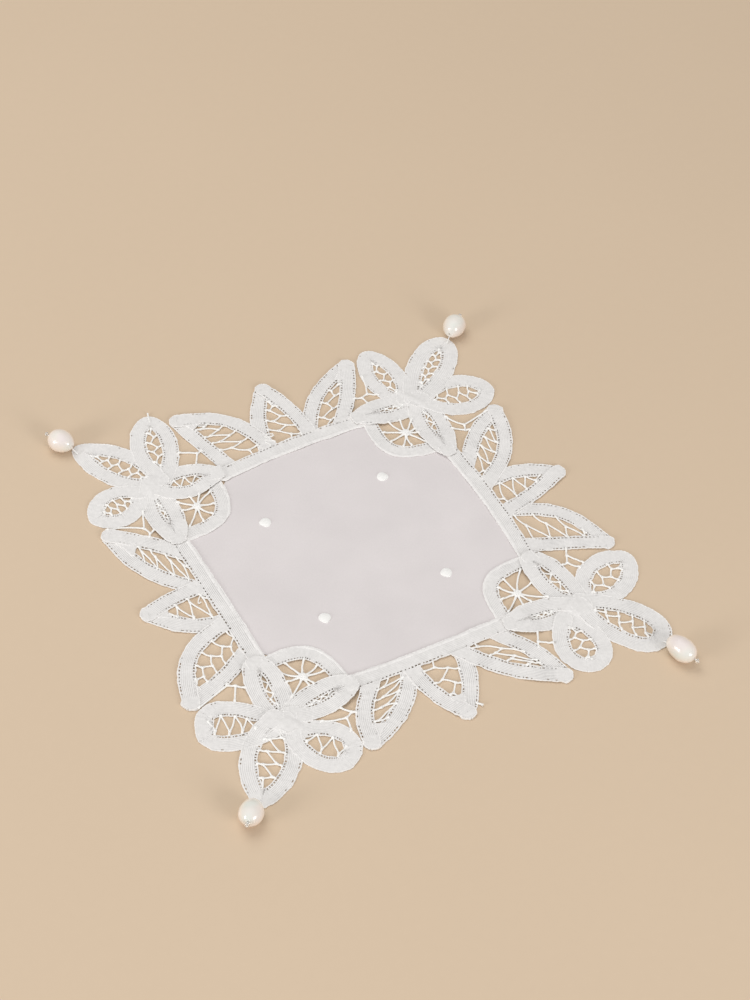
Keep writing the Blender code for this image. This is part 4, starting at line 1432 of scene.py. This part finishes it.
# %% The cloth's mesh and finish
LAWN_THICKNESS = 0.16
LAWN_LEVEL = 0.15
LAWN_RINGS = 56
LAWN_RAYS = 240
LAWN_WAVES = ((46.0, 0.10), (31.0, 0.08), (19.0, 0.05), (11.0, 0.025))  # wavelength, amount
WAVES_OF_EACH = 3


def lawn_waves(plan):
    """Long soft waves, in millimetres of height."""
    level = np.zeros(plan.shape[:-1])
    for wavelength, amount in LAWN_WAVES:
        for _ in range(WAVES_OF_EACH):
            heading = heading_of(chance.uniform(0, 360))
            level += amount * np.sin(plan @ heading * 2 * math.pi / wavelength + chance.uniform(0, 6.3))
    return level


def make_lawn_material():
    material, tree, shader = new_material("fine_lawn", 0.85)
    patches = use_group(tree, MOTTLE, Patch_Scale=45.0, Amount=0.22)
    shade = patches.outputs["Shade"]
    tree.links.new(tinted(tree, (0.73, 0.685, 0.685), shade), shader.inputs["Base Color"])
    shader.inputs["Sheen Weight"].default_value = 0.1
    bump(tree, shader, patches.outputs["Fibres"], 0.00003)
    return material


angles = np.linspace(0, 2 * math.pi, LAWN_RAYS, endpoint=False)
reach = np.array([rim_reach(angle) for angle in angles])
shares = np.linspace(0.004, 1, LAWN_RINGS)
rays = np.stack([np.cos(angles), np.sin(angles)], axis=1) * reach[:, None]
plan = shares[:, None, None] * rays[None]
calm_edge = np.clip((1 - shares) / 0.1, 0, 1)[:, None]
level = LAWN_LEVEL + np.clip(0.5 * lawn_waves(plan) + 0.08, 0, 0.4) * calm_edge
top = raised(plan, level + LAWN_THICKNESS / 2)
bottom = raised(plan, level - LAWN_THICKNESS / 2)
places = np.concatenate([plan, plan[:, :1]], axis=1)
batch = Batch()
add_disc(batch, top, bottom, places)
lawn = add_piece("lawn_square", batch, make_lawn_material(), 0, ["cloth"])

# %% [markdown]
# ## The embroidered dots
#
# Four dots in satin stitch, a pile of parallel threads, sit on the cloth. Cords side by side would leave
# dark gaps that a real pile doesn't have, so each dot is one low dome, ridged by its threads.

# %% Dots
DOTS = {
    "north_east": (20.0, 22.2),
    "south_east": (19.8, -21.8),
    "south_west": (-22.8, -22.0),
    "north_west": (-23.2, 20.0),
}
DOT_RADIUS = 1.85
DOT_CROWN = 0.6
DOT_THREAD = 0.3
DOT_HEADING = 35.0
DOT_RINGS = 16
DOT_RAYS = 48
DOT_POWER = 2.5
DOT_RISE = 0.1  # of the dome's foot over LAWN_LEVEL
STITCH_RIDGE = 0.06

for corner in CORNERS:
    batch = Batch()
    middle = np.array(DOTS[corner])
    heading = heading_of(DOT_HEADING + 10 * chance.uniform(-1, 1))
    turns = np.linspace(0, 2 * math.pi, DOT_RAYS + 1)
    reach = blunt_reach(turns, DOT_POWER)
    reach *= DOT_RADIUS * (1 + 0.05 * np.sin(3 * turns + chance.uniform(0, 6)))
    reach[-1] = reach[0]
    shares = np.linspace(0.05, 1, DOT_RINGS)[:, None]
    places = shares[..., None] * (reach[:, None] * np.stack([np.cos(turns), np.sin(turns)], axis=1))
    dome = DOT_CROWN * np.sqrt(np.clip(1 - shares**2, 0, 1))
    threads = STITCH_RIDGE * np.abs(np.cos(math.pi * places[..., 1] / DOT_THREAD))
    level = LAWN_LEVEL + DOT_RISE + dome + threads * np.sqrt(np.clip(1 - shares**4, 0, 1))
    plan = middle + places[..., :1] * heading + places[..., 1:] * left_of(heading)
    top = raised(plan, level)[:, :-1]
    bottom = raised(plan, np.full_like(level, LAWN_LEVEL))[:, :-1]
    add_disc(batch, top, bottom, places * (1.0, 0.1))
    add_piece(f"satin_dot_{corner}", batch, THREAD_COTTON, 0, [f"dot_{corner}"])

# %% [markdown]
# ## Pearls and seed beads
#
# A freshwater pearl is sewn to each outer petal, its drilled hole along its length, and a small clear
# bead stops the thread at the far end. Such pearls are never true ellipsoids. Here one end is blunter,
# faint rings run round it, and a few low waves with seeded random directions push its surface in and out.

# %% Pearls
Pearl = namedtuple("Pearl", "x y heading length width tilt blunt")
PEARLS = {
    "north_east": Pearl(74.4, 72.6, 40.0, 9.2, 7.7, 0.0, -0.08),
    "south_east": Pearl(69.4, -79.6, -73.0, 10.4, 7.4, 0.0, -0.04),
    "south_west": Pearl(-72.7, -76.8, 232.0, 8.8, 7.2, 20.0, 0.03),
    "north_west": Pearl(-70.3, 76.1, 126.0, 9.0, 7.4, 0.0, -0.10),
}
BEAD_DIAMETER = 1.6
PEARL_ROWS = 64
PEARL_COLUMNS = 72
POLE_CUT = 0.09  # the angle from each pole, in radians, at which the hole begins
HOLE_DEPTH = 1.5
HOLE_END = 0.2  # the hole's radius at that depth
BUMP_COUNT = 7
BUMP_HEIGHT = 0.012  # as a share of the pearl's radius, as is a ring's
RING_HEIGHT = 0.006
RING_RATE = 2.4
PEARL_CLEARANCE = 0.02
BEAD_GAP = 0.2
BEAD_SECTION = 20  # points round the section of the bead's ring
BEAD_ROUND = 28  # points round the ring
BEAD_HALF_LENGTH = 0.5
BEAD_HALF_WALL = 0.35
PEARL_THREAD_RADIUS = 0.16
PEARL_THREAD_END = 0.7  # beyond the bead's middle


def make_pearl_material():
    material, tree, shader = new_material("nacre", 0.24)
    overtone = noise(tree, 140.0, 1.0)
    ramp = tree.nodes.new("ShaderNodeValToRGB")
    ramp.color_ramp.elements[0].position = 0.3
    ramp.color_ramp.elements[0].color = (0.84, 0.76, 0.76, 1)
    ramp.color_ramp.elements[1].position = 0.7
    ramp.color_ramp.elements[1].color = (0.74, 0.80, 0.76, 1)
    mid = ramp.color_ramp.elements.new(0.5)
    mid.color = (0.85, 0.80, 0.76, 1)
    tree.links.new(overtone, ramp.inputs[0])
    # The peach mixed in towards the pearl's outline, where it turns from the view, is a painted reflection of
    # the warm floor.
    floor_reflection_weight = tree.nodes.new("ShaderNodeLayerWeight")
    floor_reflection_weight.inputs["Blend"].default_value = 0.25
    rim = tree.nodes.new("ShaderNodeMix")
    rim.data_type = "RGBA"
    rim.inputs["B"].default_value = (0.98, 0.77, 0.60, 1)
    tree.links.new(floor_reflection_weight.outputs["Facing"], rim.inputs["Factor"])
    tree.links.new(ramp.outputs["Color"], rim.inputs["A"])
    tree.links.new(rim.outputs["Result"], shader.inputs["Base Color"])
    shader.inputs["Coat Weight"].default_value = 0.9
    shader.inputs["Coat Roughness"].default_value = 0.1
    shader.inputs["Sheen Weight"].default_value = 0.2
    return material


def make_bead_material():
    material, tree, shader = new_material("clear_glass", 0.06)
    shader.inputs["Base Color"].default_value = (0.93, 0.93, 0.92, 1)
    shader.inputs["Transmission Weight"].default_value = 0.85
    shader.inputs["IOR"].default_value = 1.5
    shader.inputs["Coat Weight"].default_value = 0.5
    cloudy = noise(tree, 1500.0, 1.0)
    tree.links.new(maths(tree, "MULTIPLY_ADD", cloudy, 0.08, 0.03), shader.inputs["Roughness"])
    return material


NACRE = make_pearl_material()
CLEAR_GLASS = make_bead_material()


def turned_solid(profile_along, profile_out, columns):
    """A closed solid turned about its long axis, from points along the axis and away from it."""
    angles = np.linspace(0, 2 * math.pi, columns, endpoint=False)
    along = np.broadcast_to(profile_along[:, None], (len(profile_along), columns))
    out = np.broadcast_to(profile_out[:, None], along.shape)
    return along, out * np.cos(angles), out * np.sin(angles)


def pearl_directions(pearl):
    """A pearl's middle, and its three directions: along its hole, across it and out of both."""
    heading = heading_of(pearl.heading)
    tilt = math.radians(pearl.tilt)
    centre = math.hypot(pearl.length / 2 * math.sin(tilt), pearl.width / 2 * math.cos(tilt))
    hole = np.array((*(math.cos(tilt) * heading), math.sin(tilt)))
    across = np.array((*left_of(heading), 0.0))
    return np.array((pearl.x, pearl.y, centre)), np.stack([hole, across, np.cross(hole, across)])


def add_pearl(corner, pearl, middle, directions):
    turns = np.linspace(POLE_CUT, math.pi - POLE_CUT, PEARL_ROWS)
    along = pearl.length / 2 * np.cos(turns)
    out = pearl.width / 2 * np.sin(turns) * (1 - pearl.blunt * np.cos(turns))
    along = np.concatenate([[along[0] - HOLE_DEPTH], along, [along[-1] + HOLE_DEPTH]])
    out = np.concatenate([[HOLE_END], out, [HOLE_END]])
    x, y, z = turned_solid(along, out, PEARL_COLUMNS)
    bumps = np.zeros_like(x)
    for _ in range(BUMP_COUNT):
        direction = unit(chance.normal(size=3))
        wave = (x * direction[0] + y * direction[1] + z * direction[2]) * chance.uniform(0.5, 1.1)
        bumps += BUMP_HEIGHT * np.sin(wave + chance.uniform(0, 6.3))
    rings = RING_HEIGHT * np.sin(x * RING_RATE + chance.uniform(0, 6.3))
    swell = 1 + bumps + rings
    solid = middle + np.stack([x, y * swell, z * swell], axis=-1) @ directions
    solid[..., 2] += PEARL_CLEARANCE - solid[..., 2].min()
    batch = Batch()
    sides = grid_faces(len(along), PEARL_COLUMNS, np.zeros((len(along), PEARL_COLUMNS + 1, 2)))
    first = np.arange(PEARL_COLUMNS)[None]
    last = (len(along) - 1) * PEARL_COLUMNS + first
    flat_places = np.zeros((1, PEARL_COLUMNS, 2))
    batch.add(solid, sides, (first[:, ::-1], flat_places), (last, flat_places))
    add_piece(f"nacre_{corner}", batch, NACRE, 0, [f"pearl_{corner}"])


def add_bead(corner, place, directions):
    """A ring whose last row of faces closes on its first row of points."""
    turns = np.linspace(0, 2 * math.pi, BEAD_SECTION, endpoint=False)
    ring_radius = (BEAD_DIAMETER - 0.6) / 2
    along = BEAD_HALF_LENGTH * np.cos(turns)
    out = ring_radius - 0.05 + BEAD_HALF_WALL * np.sin(turns)
    x, y, z = turned_solid(along, out, BEAD_ROUND)
    solid = place + np.stack([x, y, z], axis=-1) @ directions
    batch = Batch()
    faces, where = grid_faces(BEAD_SECTION + 1, BEAD_ROUND, np.zeros((BEAD_SECTION + 1, BEAD_ROUND + 1, 2)))
    points = BEAD_SECTION * BEAD_ROUND
    batch.add(solid, (np.where(faces >= points, faces - points, faces), where))
    add_piece(f"clear_bead_{corner}", batch, CLEAR_GLASS, 0, [f"seed_bead_{corner}"])


def add_pearl_thread(corner, middle, end):
    """The thread through pearl and bead, which comes up from the petal's tip."""
    line = middle + np.linspace(-1, 1, 24)[:, None] * (end - middle)
    line[:8, 2] = np.linspace(0.6, line[8, 2], 8)
    batch = Batch()
    add_cord(batch, line, PEARL_THREAD_RADIUS, sides=8)
    add_piece(f"pearl_thread_{corner}", batch, THREAD_COTTON, 0)


for corner in CORNERS:
    pearl = PEARLS[corner]
    middle, directions = pearl_directions(pearl)
    reach = pearl.length / 2 + BEAD_GAP + BEAD_DIAMETER / 2
    add_pearl(corner, pearl, middle, directions)
    add_bead(corner, middle + reach * directions[0], directions)
    add_pearl_thread(corner, middle, middle + (reach + PEARL_THREAD_END) * directions[0])

# %% [markdown]
# ## The surface, the light and the camera
#
# A plain pale surface, one large soft light overhead and two low on the viewer's side, which give each
# pearl its two soft highlights. The overhead light is kept out of reflections, where it would add a
# third.
#
# The camera's directions, place and lens were printed by a least-squares fit to places on the doily, which
# takes the doily as symmetrical. It was made by hand and isn't quite, so they carry that error.

# %% The surface
def make_surface_material():
    material, tree, shader = new_material("pale_surface", 0.75)
    shade = use_group(tree, MOTTLE, Patch_Scale=7.0, Fibre_Scale=300.0, Amount=0.06).outputs["Shade"]
    tree.links.new(tinted(tree, (0.68, 0.535, 0.39), shade), shader.inputs["Base Color"])
    return material


batch = Batch()
corners = np.array(((-900, -900), (900, -900), (900, 900), (-900, 900)), float)
batch.add(raised(corners, np.zeros(4)), (np.arange(4)[None], np.zeros((1, 4, 2))))
data = batch.mesh("floor")
data.materials.append(make_surface_material())
floor = bpy.data.objects.new("floor", data)
SCENE.collection.objects.link(floor)

# %% The lights
SCENE.view_settings.view_transform = "Standard"
world = bpy.data.worlds.new("studio")
world.use_nodes = True
world.node_tree.nodes["Background"].inputs["Color"].default_value = (1.0, 0.98, 0.95, 1)
world.node_tree.nodes["Background"].inputs["Strength"].default_value = 0.45
SCENE.world = world


def add_light(name, place, size, power, seen_in_gloss=True):
    """A square soft light that faces the doily."""
    data = bpy.data.lights.new(name, "AREA")
    data.shape = "SQUARE"
    data.size = size
    data.energy = power
    light = bpy.data.objects.new(name, data)
    light.location = place
    light.rotation_euler = Vector(place).to_track_quat("Z", "Y").to_euler()
    light.visible_glossy = seen_in_gloss
    SCENE.collection.objects.link(light)


add_light("window", (0.24, -0.88, 0.36), 0.4, 3.4)
add_light("left_window", (-0.95, -0.15, 0.3), 0.34, 3.2)
add_light("overhead", (-0.15, 0.5, 1.1), 0.9, 6.2, seen_in_gloss=False)

# %% The camera
CAMERA_RIGHT = Vector((0.88682329, -0.45741438, 0.06570033))
CAMERA_DOWN = Vector((-0.30636174, -0.68839948, -0.65745619))
CAMERA_FORWARD = Vector((0.34595799, 0.5629194, -0.75062296))
LACE_TOP = 0.0006
CAMERA_PLACE = Vector((-0.18981823, -0.31605204, 0.44009265 + LACE_TOP))
lens = bpy.data.cameras.new("camera")
lens.lens = 65.327
camera = bpy.data.objects.new("camera", lens)
axes = Matrix((CAMERA_RIGHT, -CAMERA_DOWN, -CAMERA_FORWARD)).transposed()
camera.matrix_world = Matrix.Translation(CAMERA_PLACE) @ axes.to_4x4()
SCENE.collection.objects.link(camera)
SCENE.camera = camera

# %% [markdown]
# ## Last words
#
# The pieces sewn to the cloth, all but the cloth itself and the pearls, beads and their threads, are
# listed, and the spread of the cloth's outline is worked out.

sewn_on = [piece for name, piece in PIECES.items() if name != "lawn_square"]
sewn_on = [piece for piece in sewn_on if not piece.name.startswith(("nacre", "clear_bead", "pearl_thread"))]
spread = (outline.max(axis=0) - outline.min(axis=0)) * MM
